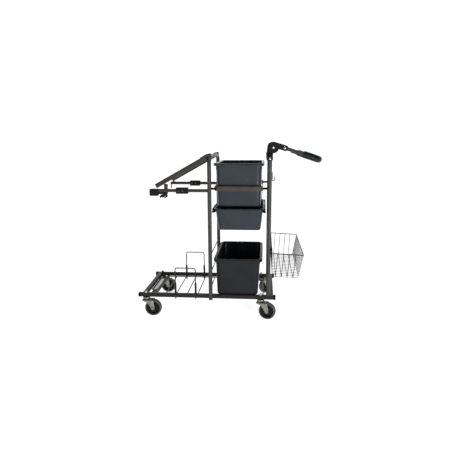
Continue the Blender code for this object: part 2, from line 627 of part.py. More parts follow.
def make_caster(corner, from_end, y, turn):
    """A swivel caster: the cup and pin on the rail, the fork that turns on it, the wheel."""
    x = x_at(from_end)
    cup_low, crown_low, pin_radius = 0.1033, 0.0985, 0.006
    cup = cylinder(f"caster_cup_{corner}", 0.022, (0, 0, cup_low), (0, 0, RAIL_BOTTOM - GAP), 20, (x, y, 0))
    pin = cylinder(f"pin_{corner}", pin_radius, (0, 0, 0.095), (0, 0, cup_low + OVERLAP), 12, (x, y, 0))
    combine(cup, pin, "UNION")
    head = cylinder(f"pin_head_{corner}", 0.009, (0, 0, 0.0943), (0, 0, crown_low - 2 * GAP), 12, (x, y, 0))
    zinc(combine(cup, head, "UNION"))

    swivel = pivot_empty(f"swivel_{corner}", (x, y, 0), turn_z=turn)
    crown_high = cup_low - GAP
    fork = cylinder(f"caster_fork_{corner}", 0.0235, (0, 0, crown_low), (0, 0, crown_high), 20, parent=swivel)
    outline = [(-0.0225, crown_high - 0.0005), (-0.0225, 0.088)]
    outline += arc((CASTER_TRAIL, WHEEL_RADIUS), 0.010, 215, 385, 6)
    outline += [(0.034, 0.090), (0.030, crown_high - 0.0005)]
    inner, plate = WHEEL_HALF_WIDTH + 0.0035, 0.0030
    for side, sign in SIDES.items():
        place = (0, sign * (inner + plate / 2), 0)
        combine(fork, flat_outline(f"fork_leg_{corner}_{side}", outline, plate / 2, place, swivel), "UNION")
    low, high = (-0.0220, -inner - 0.001, crown_low + 0.0003), (0.012, inner + 0.001, crown_high - 0.0003)
    combine(fork, box(f"fork_shoulder_{corner}", low, high, parent=swivel), "UNION")
    hole = cylinder(f"pin_hole_{corner}", pin_radius + 0.0005, (0, 0, 0.09), (0, 0, 0.11), 12, parent=swivel)
    combine(fork, hole, "DIFFERENCE")
    reach = inner + plate + 0.0015
    ends = (CASTER_TRAIL, -reach, WHEEL_RADIUS), (CASTER_TRAIL, reach, WHEEL_RADIUS)
    zinc(combine(fork, cylinder(f"axle_{corner}", AXLE_RADIUS, *ends, 12, parent=swivel), "UNION"))
    axle = pivot_empty(f"axle_centre_{corner}", (CASTER_TRAIL, 0, WHEEL_RADIUS), parent=swivel)
    make_wheel(corner, axle)


make_base()
make_guards()
make_hoop()
make_posts()
make_handle()
make_bins()
make_cradle()
make_bag_frame()
make_tool_clip()
make_basket()
near_left, near_right = CASTER_FROM_END
make_caster("front_left", near_left, -RAIL_Y, 0)
make_caster("front_right", near_right, -RAIL_Y, -15)
make_caster("rear_left", near_left, RAIL_Y, 0)
make_caster("rear_right", near_right, RAIL_Y, 46)
print(len([obj for obj in parts.objects if obj.type == "MESH"]), "nodes")
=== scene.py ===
# %% [markdown]
# # A housekeeping cart
# The real cart is welded from painted steel tube and stands on four swivel casters. It
# carries three moulded bins, a wire basket, an open frame for a bag and a folding push
# bow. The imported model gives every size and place, so each cell asks it where a node is
# and builds the fine piece there. Most parts are bars that follow a path, so one small
# Geometry Nodes tree makes them, and moulded parts are lofted from their sections.

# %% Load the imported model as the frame
import json
import math

import bmesh
import bpy
from mathutils import Matrix, Vector

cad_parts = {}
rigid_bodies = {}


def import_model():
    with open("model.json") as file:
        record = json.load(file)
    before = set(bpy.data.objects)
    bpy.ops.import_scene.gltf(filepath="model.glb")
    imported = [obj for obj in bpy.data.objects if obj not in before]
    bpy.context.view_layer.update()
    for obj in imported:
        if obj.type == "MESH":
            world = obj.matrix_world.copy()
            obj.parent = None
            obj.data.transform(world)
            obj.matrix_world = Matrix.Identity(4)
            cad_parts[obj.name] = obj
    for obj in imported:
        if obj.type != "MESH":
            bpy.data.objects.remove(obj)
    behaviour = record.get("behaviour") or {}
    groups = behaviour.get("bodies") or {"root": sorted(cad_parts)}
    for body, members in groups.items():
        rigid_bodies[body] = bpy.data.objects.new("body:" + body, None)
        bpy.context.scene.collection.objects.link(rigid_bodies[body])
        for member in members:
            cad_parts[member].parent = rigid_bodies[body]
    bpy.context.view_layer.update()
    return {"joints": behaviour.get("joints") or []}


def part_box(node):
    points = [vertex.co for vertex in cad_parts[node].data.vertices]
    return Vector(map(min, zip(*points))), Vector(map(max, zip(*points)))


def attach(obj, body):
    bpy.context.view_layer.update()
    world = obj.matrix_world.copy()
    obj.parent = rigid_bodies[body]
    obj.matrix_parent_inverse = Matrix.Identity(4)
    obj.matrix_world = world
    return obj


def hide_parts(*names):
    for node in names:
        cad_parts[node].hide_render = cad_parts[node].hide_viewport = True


for leftover in list(bpy.data.objects):
    bpy.data.objects.remove(leftover)
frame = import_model()
joints = {joint["name"]: joint for joint in frame["joints"]}
SIDES = {"front": -1, "rear": 1}

# %% [markdown]
# ## Camera
# The cart is seen from its front, a little to the right and from above the top bin, with
# a normal lens. One matrix places the camera: it stands, turns towards the cart, tilts
# down and leans a fraction of a degree.

# %% Camera
scene = bpy.context.scene
lens = bpy.data.cameras.new("camera")
lens.lens = 33.48
camera = bpy.data.objects.new("camera", lens)
scene.collection.objects.link(camera)
heading, tilt, lean = math.radians(4.56), math.radians(78.543), math.radians(-0.212)
turn = Matrix.Rotation(heading, 4, "Z") @ Matrix.Rotation(tilt, 4, "X") @ Matrix.Rotation(lean, 4, "Z")
camera.matrix_world = Matrix.Translation((0.212, -2.611, 1.019)) @ turn
scene.camera = camera
scene.view_settings.view_transform = "Standard"
print("camera turned from the front by", round(math.degrees(heading), 2), "degrees")

# %% [markdown]
# ## Helpers for node trees
# Finishes, the backdrop and the Geometry Nodes below are all built from the same three
# helpers: one turns a hex colour into the linear values that shaders take, one adds a node
# with its settings and links, and one names the ends of a Map Range node.


# %% Helpers for node trees
def linear(code):
    """A colour written as sRGB hex, as the linear values that shaders take."""
    parts = [int(code[i : i + 2], 16) / 255 for i in (1, 3, 5)]
    return [p / 12.92 if p <= 0.04045 else ((p + 0.055) / 1.055) ** 2.4 for p in parts] + [1.0]


def add(tree, kind, inputs=None, **settings):
    """Adds a node, sets its properties, and fills its inputs with values or links."""
    node = tree.nodes.new(kind)
    for name, value in settings.items():
        setattr(node, name, value)
    for name, value in (inputs or {}).items():
        if isinstance(value, bpy.types.NodeSocket):
            tree.links.new(value, node.inputs[name])
        else:
            node.inputs[name].default_value = value
    return node


def from_to(low, high, start, end):
    """The inputs that make a Map Range node turn low..high into start..end."""
    return {"From Min": low, "From Max": high, "To Min": start, "To Max": end}


# %% [markdown]
# ## Backdrop, floor and lamps
# The studio has a bright white backdrop behind the cart and a lit white floor, and its
# front is dim, so that black plastic stays black and tubes have dark edges. Two upright
# strip lamps draw one bright line down each round tube and rounded corner, and a broad
# lamp overhead lights the rims and the deck.

# %% Backdrop, floor and lamps
world = bpy.data.worlds.new("studio")
scene.world = world
world.use_nodes = True
sky = world.node_tree
aim = add(sky, "ShaderNodeTexCoord").outputs["Generated"]
depth = add(sky, "ShaderNodeSeparateXYZ", {"Vector": aim}).outputs["Y"]
fade = {"Value": depth, **from_to(0.35, 0.70, 0.05, 1.10)}
backdrop = add(sky, "ShaderNodeMapRange", fade, interpolation_type="SMOOTHSTEP")
sky.links.new(backdrop.outputs["Result"], sky.nodes["Background"].inputs["Strength"])
sky.nodes["Background"].inputs["Color"].default_value = (1, 1, 1, 1)

floor_mesh = bpy.data.meshes.new("studio_floor")
floor_mesh.from_pydata([(-40, -40, 0), (40, -40, 0), (40, 40, 0), (-40, 40, 0)], [], [(0, 1, 2, 3)])
studio_floor = bpy.data.objects.new("studio_floor", floor_mesh)
scene.collection.objects.link(studio_floor)


def lamp(name, place, target, size, watts):
    """A soft lamp, size (wide, tall), that faces a target point."""
    light = bpy.data.lights.new(name, "AREA")
    light.shape = "RECTANGLE"
    light.size, light.size_y, light.energy = size[0], size[1], watts
    holder = bpy.data.objects.new(name, light)
    scene.collection.objects.link(holder)
    facing = (Vector(target) - Vector(place)).to_track_quat("-Z", "Y")
    holder.matrix_world = Matrix.Translation(place) @ facing.to_matrix().to_4x4()
    print(f"{name}: {watts} W")


lamp("key_strip", (1.40, -2.35, 0.62), (0.1, 0, 0.7), (0.20, 1.1), 26)
lamp("left_strip", (-2.0, -2.0, 1.5), (0, 0, 0.5), (0.30, 1.6), 9)
lamp("top_lamp", (0.2, -0.6, 3.0), (0.1, 0, 0.4), (1.6, 0.5), 16)

# %% [markdown]
# ## Finishes
# Every finish starts from the real material: two close tones that drift over the surface,
# and a roughness that drifts as well. Dust lightens what faces up, and each layer of grain
# is a Bump node of its own. Object coordinates are metres, so a pattern whose features are
# a few millimetres apart has a scale of 1000 divided by that number.

# %% The body that all finishes share
COLOUR_A, COLOUR_B, MIXED = 6, 7, 2  # a Mix node's colour sockets have no names of their own
DUST = "#b9b4ac"


def scale_of(millimetres):
    """The noise scale whose features are this far apart on Object coordinates."""
    return 1000 / millimetres


def finish(name, tones, patch, roughness, metallic=0.0, ior=1.5, dust=0.0, shine=0.5):
    """A Principled material with drifting tone and roughness. It returns its parts."""
    material = bpy.data.materials.new(name)
    material.use_nodes = True
    tree = material.node_tree
    shader = tree.nodes["Principled BSDF"]
    shader.inputs["Metallic"].default_value = metallic
    if not metallic:
        shader.inputs["IOR"].default_value = ior
        shader.inputs["Specular IOR Level"].default_value = shine
    place = add(tree, "ShaderNodeTexCoord").outputs["Object"]
    noise = {"Vector": place, "Scale": scale_of(patch), "Detail": 4.0}
    drift = add(tree, "ShaderNodeTexNoise", noise).outputs["Fac"]
    spread = add(tree, "ShaderNodeMapRange", {"Value": drift, **from_to(0.35, 0.65, 0, 1)})
    mix = {"Factor": spread.outputs["Result"], COLOUR_A: linear(tones[0]), COLOUR_B: linear(tones[1])}
    colour = add(tree, "ShaderNodeMix", mix, data_type="RGBA").outputs[MIXED]
    if dust:
        normal = add(tree, "ShaderNodeNewGeometry").outputs["Normal"]
        up = add(tree, "ShaderNodeSeparateXYZ", {"Vector": normal}).outputs["Z"]
        settled = add(tree, "ShaderNodeMapRange", {"Value": up, **from_to(0.3, 1, 0, dust)})
        mix = {"Factor": settled.outputs["Result"], COLOUR_A: colour, COLOUR_B: linear(DUST)}
        colour = add(tree, "ShaderNodeMix", mix, data_type="RGBA").outputs[MIXED]
    tree.links.new(colour, shader.inputs["Base Color"])
    rough = add(tree, "ShaderNodeMapRange", {"Value": drift, **from_to(0.3, 0.7, *roughness)})
    tree.links.new(rough.outputs["Result"], shader.inputs["Roughness"])
    return material, tree, shader, place


def raise_grain(tree, shader, place, size, height, stretch=(1, 1, 1)):
    """Bumps of a size and height in millimetres, stretched along an axis where it is under 1."""
    lie = add(tree, "ShaderNodeMapping", {"Vector": place, "Scale": stretch}).outputs["Vector"]
    grain = add(tree, "ShaderNodeTexNoise", {"Vector": lie, "Scale": scale_of(size), "Detail": 3.0})
    relief = {"Height": grain.outputs["Fac"], "Distance": height / 1000, "Strength": 1.0}
    bump = add(tree, "ShaderNodeBump", relief)
    under = shader.inputs["Normal"].links
    if under:
        tree.links.new(under[0].from_socket, bump.inputs["Normal"])
    tree.links.new(bump.outputs["Normal"], shader.inputs["Normal"])


def grained(name, tones, patch, roughness, grain, height, **look):
    """A finish with its first layer of grain, whose size and height are in millimetres."""
    material, tree, shader, place = finish(name, tones, patch, roughness, **look)
    raise_grain(tree, shader, place, grain, height)
    return material, tree, shader, place


# %% [markdown]
# ### Painted steel
# The frame is polyester powder coat, sprayed and baked: satin, with a faint orange peel
# whose cells are about 3 mm across. The same paint is copied darker and duller as painted
# shade on the rails and the wires, and lighter and browner as painted light on the flat
# bands of the cradle.


# %% Painted steel
def powder_coat(name, dark, light, shine=0.3):
    """Baked paint between two tones, with orange peel and a thin clear layer."""
    look = {"dust": 0.02, "shine": shine}
    material, tree, shader, place = grained(name, (dark, light), 60, (0.36, 0.48), 3.0, 0.05, **look)
    shader.inputs["Coat Weight"].default_value = shine / 3
    shader.inputs["Coat Roughness"].default_value = 0.25
    raise_grain(tree, shader, place, 0.9, 0.01)
    return material


frame_paint = powder_coat("powder_coat_warm_grey", "#322f2e", "#3b3837")
# The rails take a darker, duller copy of the frame paint: painted shade.
shaded_rail_paint = powder_coat("powder_coat_with_painted_shade_on_rails", "#242122", "#2d292a", 0.12)
# The cradle's flat bands take a lighter, browner copy of the frame paint: painted light.
lit_band_paint = powder_coat("powder_coat_with_painted_light_on_bands", "#46413e", "#504a46", 0.1)
# The wires take a darker, duller copy of the frame paint: painted shade.
shaded_wire_paint = powder_coat("powder_coat_with_painted_shade_on_wire", "#292726", "#33302f", 0.12)
print("painted finishes:", frame_paint.name, shaded_rail_paint.name, lit_band_paint.name, shaded_wire_paint.name)

# %% [markdown]
# ### Moulded plastics
# The handle joints, couplings and clips are black nylon moulded against a spark-eroded
# tool, which leaves a fine matt grain. The grip is softer and duller. The bins are
# injection-moulded polypropylene: smooth and semi-gloss, with faint vertical draw marks
# where the part left its mould and a fine texture on its outside.


# %% Moulded plastics
def moulded(name, dark, light, roughness, grain, height, patch=35, shine=0.22):
    """A moulded plastic or rubber, with the grain of its tool."""
    return grained(name, (dark, light), patch, roughness, grain, height, ior=1.49, dust=0.01, shine=shine)


black_nylon, *_ = moulded("black_moulded_nylon", "#060707", "#0c0d0d", (0.40, 0.54), 0.9, 0.03)
cap_plastic, *_ = moulded("black_end_cap_plastic", "#060606", "#0d0d0d", (0.45, 0.6), 0.9, 0.03, shine=0.08)
grip_rubber, *_ = moulded("soft_grip_sleeve", "#090c0b", "#101413", (0.34, 0.46), 1.4, 0.05)
wheel_nylon, *_ = moulded("black_wheel_nylon", "#030303", "#080808", (0.35, 0.5), 1.0, 0.03)


def polypropylene(name, dark, light, roughness, shine):
    """A bin's plastic: a glossy skin over draw marks 50 times as tall as they are wide."""
    material, tree, shader, place = moulded(name, dark, light, roughness, 1.2, 0.02, patch=90, shine=shine)
    raise_grain(tree, shader, place, 2.5, 0.03, stretch=(1, 1, 0.02))
    shader.inputs["Coat Weight"].default_value = shine * 0.6
    shader.inputs["Coat Roughness"].default_value = 0.2
    return material


slate_polypropylene = polypropylene("slate_polypropylene", "#152029", "#1b2731", (0.20, 0.28), 0.3)
charcoal_polypropylene = polypropylene("charcoal_polypropylene", "#191d20", "#1f2327", (0.32, 0.42), 0.12)
print("bin plastics:", slate_polypropylene.name, charcoal_polypropylene.name)

# %% [markdown]
# ### Plated steel, rubber and vinyl
# Forks, cups and nuts are zinc plated: a metal with a slightly yellow-green passivation
# that clouds over a few centimetres. Screws are brighter. The basket's wire has lost its
# shine and looks like a plain dark grey. The tyres are non-marking grey rubber, dull and
# very slightly mottled. The label is smooth white vinyl.


# %% Plated steel, tyre rubber and the label's vinyl
def plated(name, dark, light, roughness, patch, height):
    """A bare metal with a fine grain."""
    return grained(name, (dark, light), patch, roughness, 1.2, height, metallic=1.0)[0]


zinc_plate = plated("zinc_plated_steel", "#77766d", "#95948a", (0.30, 0.44), 14, 0.02)
bright_plate = plated("bright_plated_steel", "#d8d8d4", "#efefec", (0.12, 0.22), 8, 0.004)
basket_plate, *_ = grained("dull_zinc_wire", ("#303030", "#3d3d3c"), 20, (0.4, 0.52), 1.2, 0.006, shine=0.2)
tyre_rubber, *_ = moulded("grey_tyre_rubber", "#4b4e50", "#585b5d", (0.55, 0.7), 1.5, 0.03)
label_vinyl, *_ = moulded("blank_white_label", "#f6f6f4", "#fbfbf9", (0.35, 0.45), 6.0, 0.01)
paper = ("studio_floor_paper", ("#f4f4f4", "#f8f8f8"), 900, (0.85, 0.95), 4.0, 0.02)
floor_finish, _, floor_shader, _ = grained(*paper)
floor_shader.inputs["Emission Color"].default_value = (1, 1, 1, 1)
floor_shader.inputs["Emission Strength"].default_value = 0.86
floor_mesh.materials.append(floor_finish)
print("metals:", zinc_plate.name, bright_plate.name, basket_plate.name)

# %% [markdown]
# ## Making pieces
# A finished piece is a plain mesh at the origin, in the place it has on the cart. It
# rides on one of the model's bodies, takes the finish it is given, and may hide the
# plainer nodes that it stands for. Most fixed pieces share one of two pairs of a body and
# a slot name, which are named here.


# %% Finishing a piece
COAT = ("frame", "frame_coat")
BLACK = ("frame", "black_plastic")


def settle(name, mesh, finish_used, body, slot, *nodes, smooth=32):
    """Puts a mesh on the cart as a piece that rides on a body and replaces nodes."""
    if finish_used:
        mesh.materials.clear()
        mesh.materials.append(finish_used)
    mesh.name = name
    mesh.shade_smooth()
    mesh.set_sharp_from_angle(angle=math.radians(smooth))
    piece = bpy.data.objects.new(name, mesh)
    scene.collection.objects.link(piece)
    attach(piece, body)
    if nodes:
        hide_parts(*nodes)
    print(f"{name}: {len(mesh.polygons)} faces on {body}")
    return piece


def settle_bmesh(name, bm, finish_used, body, slot, *nodes, smooth=32):
    """The same for a bmesh, whose doubles are merged and whose faces are turned outwards."""
    mesh = bpy.data.meshes.new(name)
    bmesh.ops.remove_doubles(bm, verts=bm.verts, dist=0.000005)
    bmesh.ops.recalc_face_normals(bm, faces=bm.faces)
    bm.to_mesh(mesh)
    bm.free()
    return settle(name, mesh, finish_used, body, slot, *nodes, smooth=smooth)


# %% [markdown]
# ### The bar tree
# Tubes, rods, flat bars and wires are all one thing: a section that follows a path with
# bent corners. The tree turns guide edges into curves, rounds their corners to the bend
# radius, and sweeps a round or a rounded rectangular section along them.


# %% Geometry Nodes: a bar along a path
def new_tree(name, inputs, result):
    """A Geometry Nodes tree with named inputs of given kinds, and its input node's outputs."""
    tree = bpy.data.node_groups.new(name, "GeometryNodeTree")
    for title, kind in inputs.items():
        tree.interface.new_socket(title, in_out="INPUT", socket_type=f"NodeSocket{kind}")
    tree.interface.new_socket(result, in_out="OUTPUT", socket_type="NodeSocketGeometry")
    return tree, add(tree, "NodeGroupInput").outputs


def end_tree(tree, geometry, finish_used, result):
    """Realises a tree's geometry, gives it its finish and puts it out."""
    whole = add(tree, "GeometryNodeRealizeInstances", {"Geometry": geometry}).outputs["Geometry"]
    done = add(tree, "GeometryNodeSetMaterial", {"Geometry": whole, "Material": finish_used})
    add(tree, "NodeGroupOutput", {result: done.outputs["Geometry"]})
    return tree


def bar_tree(name, flat):
    """A tree that sweeps a section along guide edges. flat gives a rectangular section."""
    inputs = {"Guide": "Geometry", "Width": "Float", "Height": "Float", "Corner": "Float", "Bend": "Float"}
    inputs |= {"Sides": "Int", "Finish": "Material"}
    tree, given = new_tree(name, inputs, "Bar")
    path = add(tree, "GeometryNodeMeshToCurve", {"Mesh": given["Guide"]}).outputs["Curve"]
    bends = {"Curve": path, "Count": 10, "Radius": given["Bend"], "Limit Radius": True}
    line = add(tree, "GeometryNodeFilletCurve", bends, mode="POLY").outputs["Curve"]
    if flat:
        line = add(tree, "GeometryNodeSetCurveNormal", {"Curve": line}, mode="Z_UP").outputs["Curve"]
        size = {"Width": given["Width"], "Height": given["Height"]}
        oblong = add(tree, "GeometryNodeCurvePrimitiveQuadrilateral", size).outputs["Curve"]
        rounds = {"Curve": oblong, "Count": 3, "Radius": given["Corner"], "Limit Radius": True}
        section = add(tree, "GeometryNodeFilletCurve", rounds, mode="POLY").outputs["Curve"]
    else:
        half = add(tree, "ShaderNodeMath", {0: given["Width"], 1: 0.5}, operation="MULTIPLY").outputs[0]
        size = {"Resolution": given["Sides"], "Radius": half}
        section = add(tree, "GeometryNodeCurvePrimitiveCircle", size).outputs["Curve"]
    sweep = {"Curve": line, "Profile Curve": section, "Fill Caps": True}
    swept = add(tree, "GeometryNodeCurveToMesh", sweep).outputs["Mesh"]
    return end_tree(tree, swept, given["Finish"], "Bar")


round_bar, flat_bar = bar_tree("round_bar", False), bar_tree("flat_bar", True)
print("bar trees:", round_bar.name, flat_bar.name)

# %% [markdown]
# ### Growing a mesh from a tree
# A guide mesh holds a bar's path as loose edges. The tree is put on it as a modifier, its
# inputs are set by their identifiers, and the evaluated result becomes a plain mesh.


# %% Growing a mesh from a tree
def grow(tree, guide, settings):
    """Evaluates a tree on a guide mesh and returns the result as a plain mesh."""
    holder = bpy.data.objects.new("guide", guide)
    scene.collection.objects.link(holder)
    modifier = holder.modifiers.new("grow", "NODES")
    modifier.node_group = tree
    sockets = {item.name: item.identifier for item in tree.interface.items_tree if item.in_out == "INPUT"}
    for title, value in settings.items():
        modifier[sockets[title]] = value
    graph = bpy.context.evaluated_depsgraph_get()
    graph.update()
    mesh = bpy.data.meshes.new_from_object(holder.evaluated_get(graph))
    bpy.data.objects.remove(holder)
    return mesh


def guide_of(paths, closed=False):
    """Guide edges along lists of points."""
    points, edges = [], []
    for path in paths:
        first = len(points)
        points += [tuple(point) for point in path]
        edges += [(first + i, first + i + 1) for i in range(len(path) - 1)]
        if closed:
            edges.append((first + len(path) - 1, first))
    guide = bpy.data.meshes.new("guide")
    guide.from_pydata(points, edges, [])
    return guide


def rod(name, paths, width, finish_used, body, slot, *nodes, bend=0.0, sides=24, closed=False):
    """Round bars along paths, as one piece."""
    settings = {"Width": width, "Bend": bend, "Sides": sides, "Finish": finish_used}
    mesh = grow(round_bar, guide_of(paths, closed), settings)
    return settle(name, mesh, None, body, slot, *nodes)


def bar(name, paths, size, corner, finish_used, body, slot, *nodes, bend=0.0, closed=False):
    """Rectangular bars along paths, as one piece. size is (across, up)."""
    settings = {"Width": size[0], "Height": size[1], "Corner": corner, "Bend": bend, "Finish": finish_used}
    mesh = grow(flat_bar, guide_of(paths, closed), settings)
    return settle(name, mesh, None, body, slot, *nodes)


# %% [markdown]
# ### Turned pieces
# Screws, wheels and cups are turned on the real cart, or look it: a profile spun round an
# axis. Each profile is written as pairs of a radius and a height along that axis.


# %% Turned pieces
def lathe(bm, profile, centre, axis, segments=32):
    """Spins a profile of (radius, height) pairs round an axis, into a bmesh."""
    frame_of = Vector(axis).to_track_quat("Z", "Y").to_matrix()
    rings = []
    for radius, height in profile:
        ring = []
        for i in range(segments):
            angle = 2 * math.pi * i / segments
            local = Vector((radius * math.cos(angle), radius * math.sin(angle), height))
            ring.append(bm.verts.new(Vector(centre) + frame_of @ local))
        rings.append(ring)
    for low, high in zip(rings, rings[1:]):
        for i in range(segments):
            after = (i + 1) % segments
            bm.faces.new((low[i], low[after], high[after], high[i]))
    return rings


def turned_piece(name, profiles, finish_used, body, slot, *nodes, segments=32):
    """One piece from several (profile, centre, axis), each closed where its radius is 0."""
    bm = bmesh.new()
    for profile, centre, axis in profiles:
        rings = lathe(bm, profile, centre, axis, segments)
        if (Vector(profile[0]) - Vector(profile[-1])).length < 1e-7:
            bmesh.ops.remove_doubles(bm, verts=rings[0] + rings[-1], dist=0.000005)
    bmesh.ops.dissolve_degenerate(bm, dist=0.000002, edges=bm.edges)
    return settle_bmesh(name, bm, finish_used, body, slot, *nodes)


# %% [markdown]
# ### Lofted and flat pieces
# Bins are lofted through rounded rectangles. Moulded levers and plates are an outline with
# thickness and softened edges, and caps and clips are blocks with rounded edges.


# %% Lofted and flat pieces
def rounded_ring(bm, centre, half, radius, height, steps=8):
    """One level of a loft: a rectangle with round corners, counter-clockwise from above."""
    ring = []
    for sign_x, sign_y, start in ((1, 1, 0), (-1, 1, 90), (-1, -1, 180), (1, -1, 270)):
        for i in range(steps + 1):
            angle = math.radians(start + 90 * i / steps)
            x = centre[0] + sign_x * (half[0] - radius) + radius * math.cos(angle)
            y = centre[1] + sign_y * (half[1] - radius) + radius * math.sin(angle)
            ring.append(bm.verts.new((x, y, height)))
    return ring


def loft(bm, levels):
    """A surface through (centre, half, corner radius, height) levels, closed at its foot."""
    rings = [rounded_ring(bm, *level) for level in levels]
    for lower, upper in zip(rings, rings[1:]):
        for i in range(len(lower)):
            after = (i + 1) % len(lower)
            bm.faces.new((lower[i], lower[after], upper[after], upper[i]))
    bm.faces.new(list(reversed(rings[0])))


def slab(bm, outline, low, high, soft, place=None):
    """An (x, z) outline given thickness from low to high along Y, with softened edges."""
    place = place or Matrix.Identity(4)
    near = [bm.verts.new(place @ Vector((x, low, z))) for x, z in outline]
    far = [bm.verts.new(place @ Vector((x, high, z))) for x, z in outline]
    made = [bm.faces.new(near), bm.faces.new(list(reversed(far)))]
    for i in range(len(outline)):
        after = (i + 1) % len(outline)
        made.append(bm.faces.new((near[after], near[i], far[i], far[after])))
    bmesh.ops.recalc_face_normals(bm, faces=made)
    rims = dict.fromkeys(edge for face in made[:2] for edge in face.edges)
    softened = {"geom": list(rims), "offset": soft, "segments": 3, "profile": 0.5}
    bmesh.ops.bevel(bm, **softened, affect="EDGES", clamp_overlap=True)


def arc(centre, radius, start, end, steps):
    """Points on an arc from start to end, in degrees."""
    turns = [math.radians(start + (end - start) * i / steps) for i in range(steps + 1)]
    return [(centre[0] + radius * math.cos(a), centre[1] + radius * math.sin(a)) for a in turns]


def block(bm, low, high, soft, segments=3):
    """A box between two corners with rounded edges."""
    low, high = Vector(low), Vector(high)
    made = bmesh.ops.create_cube(bm, size=1)["verts"]
    bmesh.ops.scale(bm, verts=made, vec=high - low)
    bmesh.ops.translate(bm, verts=made, vec=(low + high) / 2)
    edges = dict.fromkeys(edge for vert in made for edge in vert.link_edges)
    bmesh.ops.bevel(bm, geom=list(edges), offset=soft, segments=segments, profile=0.5, affect="EDGES")


def blocks(name, sizes, finish_used, body, slot, *nodes):
    """One piece made of several blocks, each given as block takes it."""
    bm = bmesh.new()
    for size in sizes:
        block(bm, *size)
    return settle_bmesh(name, bm, finish_used, body, slot, *nodes)


# %% [markdown]
# ### The screw tree
# Screws repeat all over the cart. One low-poly head with a hexagon socket is made once,
# and a tree puts a copy on each guide point, turned to face its side, then realises them.


# %% Geometry Nodes: a screw on each point
def screw_head():
    """A domed head of radius 1 with a hexagon socket, facing +Z."""
    bm = bmesh.new()
    dome = [(1.0, -0.25), (1.0, 0.12), (0.86, 0.34), (0.62, 0.47), (0.42, 0.5)]
    rings = lathe(bm, dome, (0, 0, 0), (0, 0, 1), 18)
    floor_ring = lathe(bm, [(0.38, 0.46), (0.36, 0.18)], (0, 0, 0), (0, 0, 1), 18)
    for i in range(18):
        after = (i + 1) % 18
        bm.faces.new((rings[-1][i], rings[-1][after], floor_ring[0][after], floor_ring[0][i]))
    bm.faces.new(floor_ring[-1])
    bm.faces.new(list(reversed(rings[0])))
    bmesh.ops.recalc_face_normals(bm, faces=bm.faces)
    mesh = bpy.data.meshes.new("screw_head")
    bm.to_mesh(mesh)
    bm.free()
    return bpy.data.objects.new("screw_head", mesh)


screw_master = screw_head()
screw_inputs = {"Points": "Geometry", "Head": "Object", "Facing": "Vector"}
screw_inputs |= {"Radius": "Float", "Finish": "Material"}
screw_tree, given = new_tree("screws_on_points", screw_inputs, "Screws")
head = add(screw_tree, "GeometryNodeObjectInfo", {"Object": given["Head"]}).outputs["Geometry"]
facing = add(screw_tree, "FunctionNodeAlignRotationToVector", {"Vector": given["Facing"]}, axis="Z")
dots = add(screw_tree, "GeometryNodeMeshToPoints", {"Mesh": given["Points"]}).outputs["Points"]
copies = {"Points": dots, "Instance": head, "Rotation": facing.outputs["Rotation"], "Scale": given["Radius"]}
placed = add(screw_tree, "GeometryNodeInstanceOnPoints", copies).outputs["Instances"]
end_tree(screw_tree, placed, given["Finish"], "Screws")


def screws(name, points, facing, radius, body, slot="bright_steel", finish_used=None, nodes=()):
    """Screw heads at points, all facing one way."""
    guide = bpy.data.meshes.new("guide")
    guide.from_pydata([tuple(point) for point in points], [], [])
    settings = {"Head": screw_master, "Facing": Vector(facing).normalized(), "Radius": radius}
    settings["Finish"] = finish_used or bright_plate
    return settle(name, grow(screw_tree, guide, settings), None, body, slot, *nodes)


# %% [markdown]
# ## The base
# Two long rails and two cross rails of rounded rectangular tube, closed with black
# push-on caps. The tubes come from the bar tree, with the rails' own section, and each cap
# is a block a little larger than the tube's end.

# %% Rails and caps
rail_boxes = {side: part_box(f"base_rail_{side}") for side in SIDES}
low, high = rail_boxes["front"]
RAIL_SIZE = (high.y - low.y, high.z - low.z)
RAIL_TOP, RAIL_BOTTOM, RAIL_CORNER = high.z, low.z, 0.0028
CAP_WALL, CAP_END, CAP_REACH = 0.0009, 0.0022, 0.0115
for side, sign in SIDES.items():
    low, high = rail_boxes[side]
    middle = (low + high) / 2
    ends = [(low.x, middle.y, middle.z), (high.x, middle.y, middle.z)]
    bar(f"rail_{side}", [ends], RAIL_SIZE, RAIL_CORNER, shaded_rail_paint, *COAT, f"base_rail_{side}")
    caps = []
    for x, way in ((low.x, 1), (high.x, -1)):
        left, right = sorted((x - way * CAP_END, x + way * CAP_REACH))
        near = (left, low.y - CAP_WALL, low.z - CAP_WALL)
        caps.append((near, (right, high.y + CAP_WALL, high.z + CAP_WALL), 0.0026))
    blocks(f"rail_caps_{side}", caps, cap_plastic, *BLACK)
for end in ("left", "right"):
    low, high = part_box(f"base_cross_{end}")
    middle = (low + high) / 2
    line = [(middle.x, low.y - 0.0003, middle.z), (middle.x, high.y + 0.0003, middle.z)]
    bar(f"cross_rail_{end}", [line], RAIL_SIZE, RAIL_CORNER, shaded_rail_paint, *COAT, f"base_cross_{end}")

# %% [markdown]
# ### Brace, label and deck
# A brace ties the rails between the left casters: a flat plate with a flange, a round bar
# along one edge and a blank label on top. The deck's rods and their side wires are round
# bars too, so the bar tree makes them all as one piece.

# %% Brace, label and deck
low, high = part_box("caster_brace")
plate_low, plate_top, bar_radius, bar_length = 0.1163, 0.120, 0.008, high.y - low.y
brace = bmesh.new()
plate_left = high.x - 0.042
block(brace, (plate_left, low.y + 0.0115, plate_low), (plate_left + 0.032, high.y - 0.0115, plate_top), 0.0012)
block(brace, (plate_left - 0.0112, -0.092, plate_low), (plate_left + 0.002, 0.135, plate_top), 0.0012)
side_bar = [(0, 0), (bar_radius, 0), (bar_radius, bar_length), (0, bar_length)]
lathe(brace, side_bar, (high.x - bar_radius, low.y, 0.118), (0, 1, 0))
settle_bmesh("caster_brace_bar", brace, shaded_rail_paint, *COAT, "caster_brace")
label_size = ((plate_left + 0.001, -0.090, plate_top), (plate_left + 0.023, 0.125, plate_top + 0.0004), 0.0001)
blocks("brace_label", [label_size], label_vinyl, *COAT)

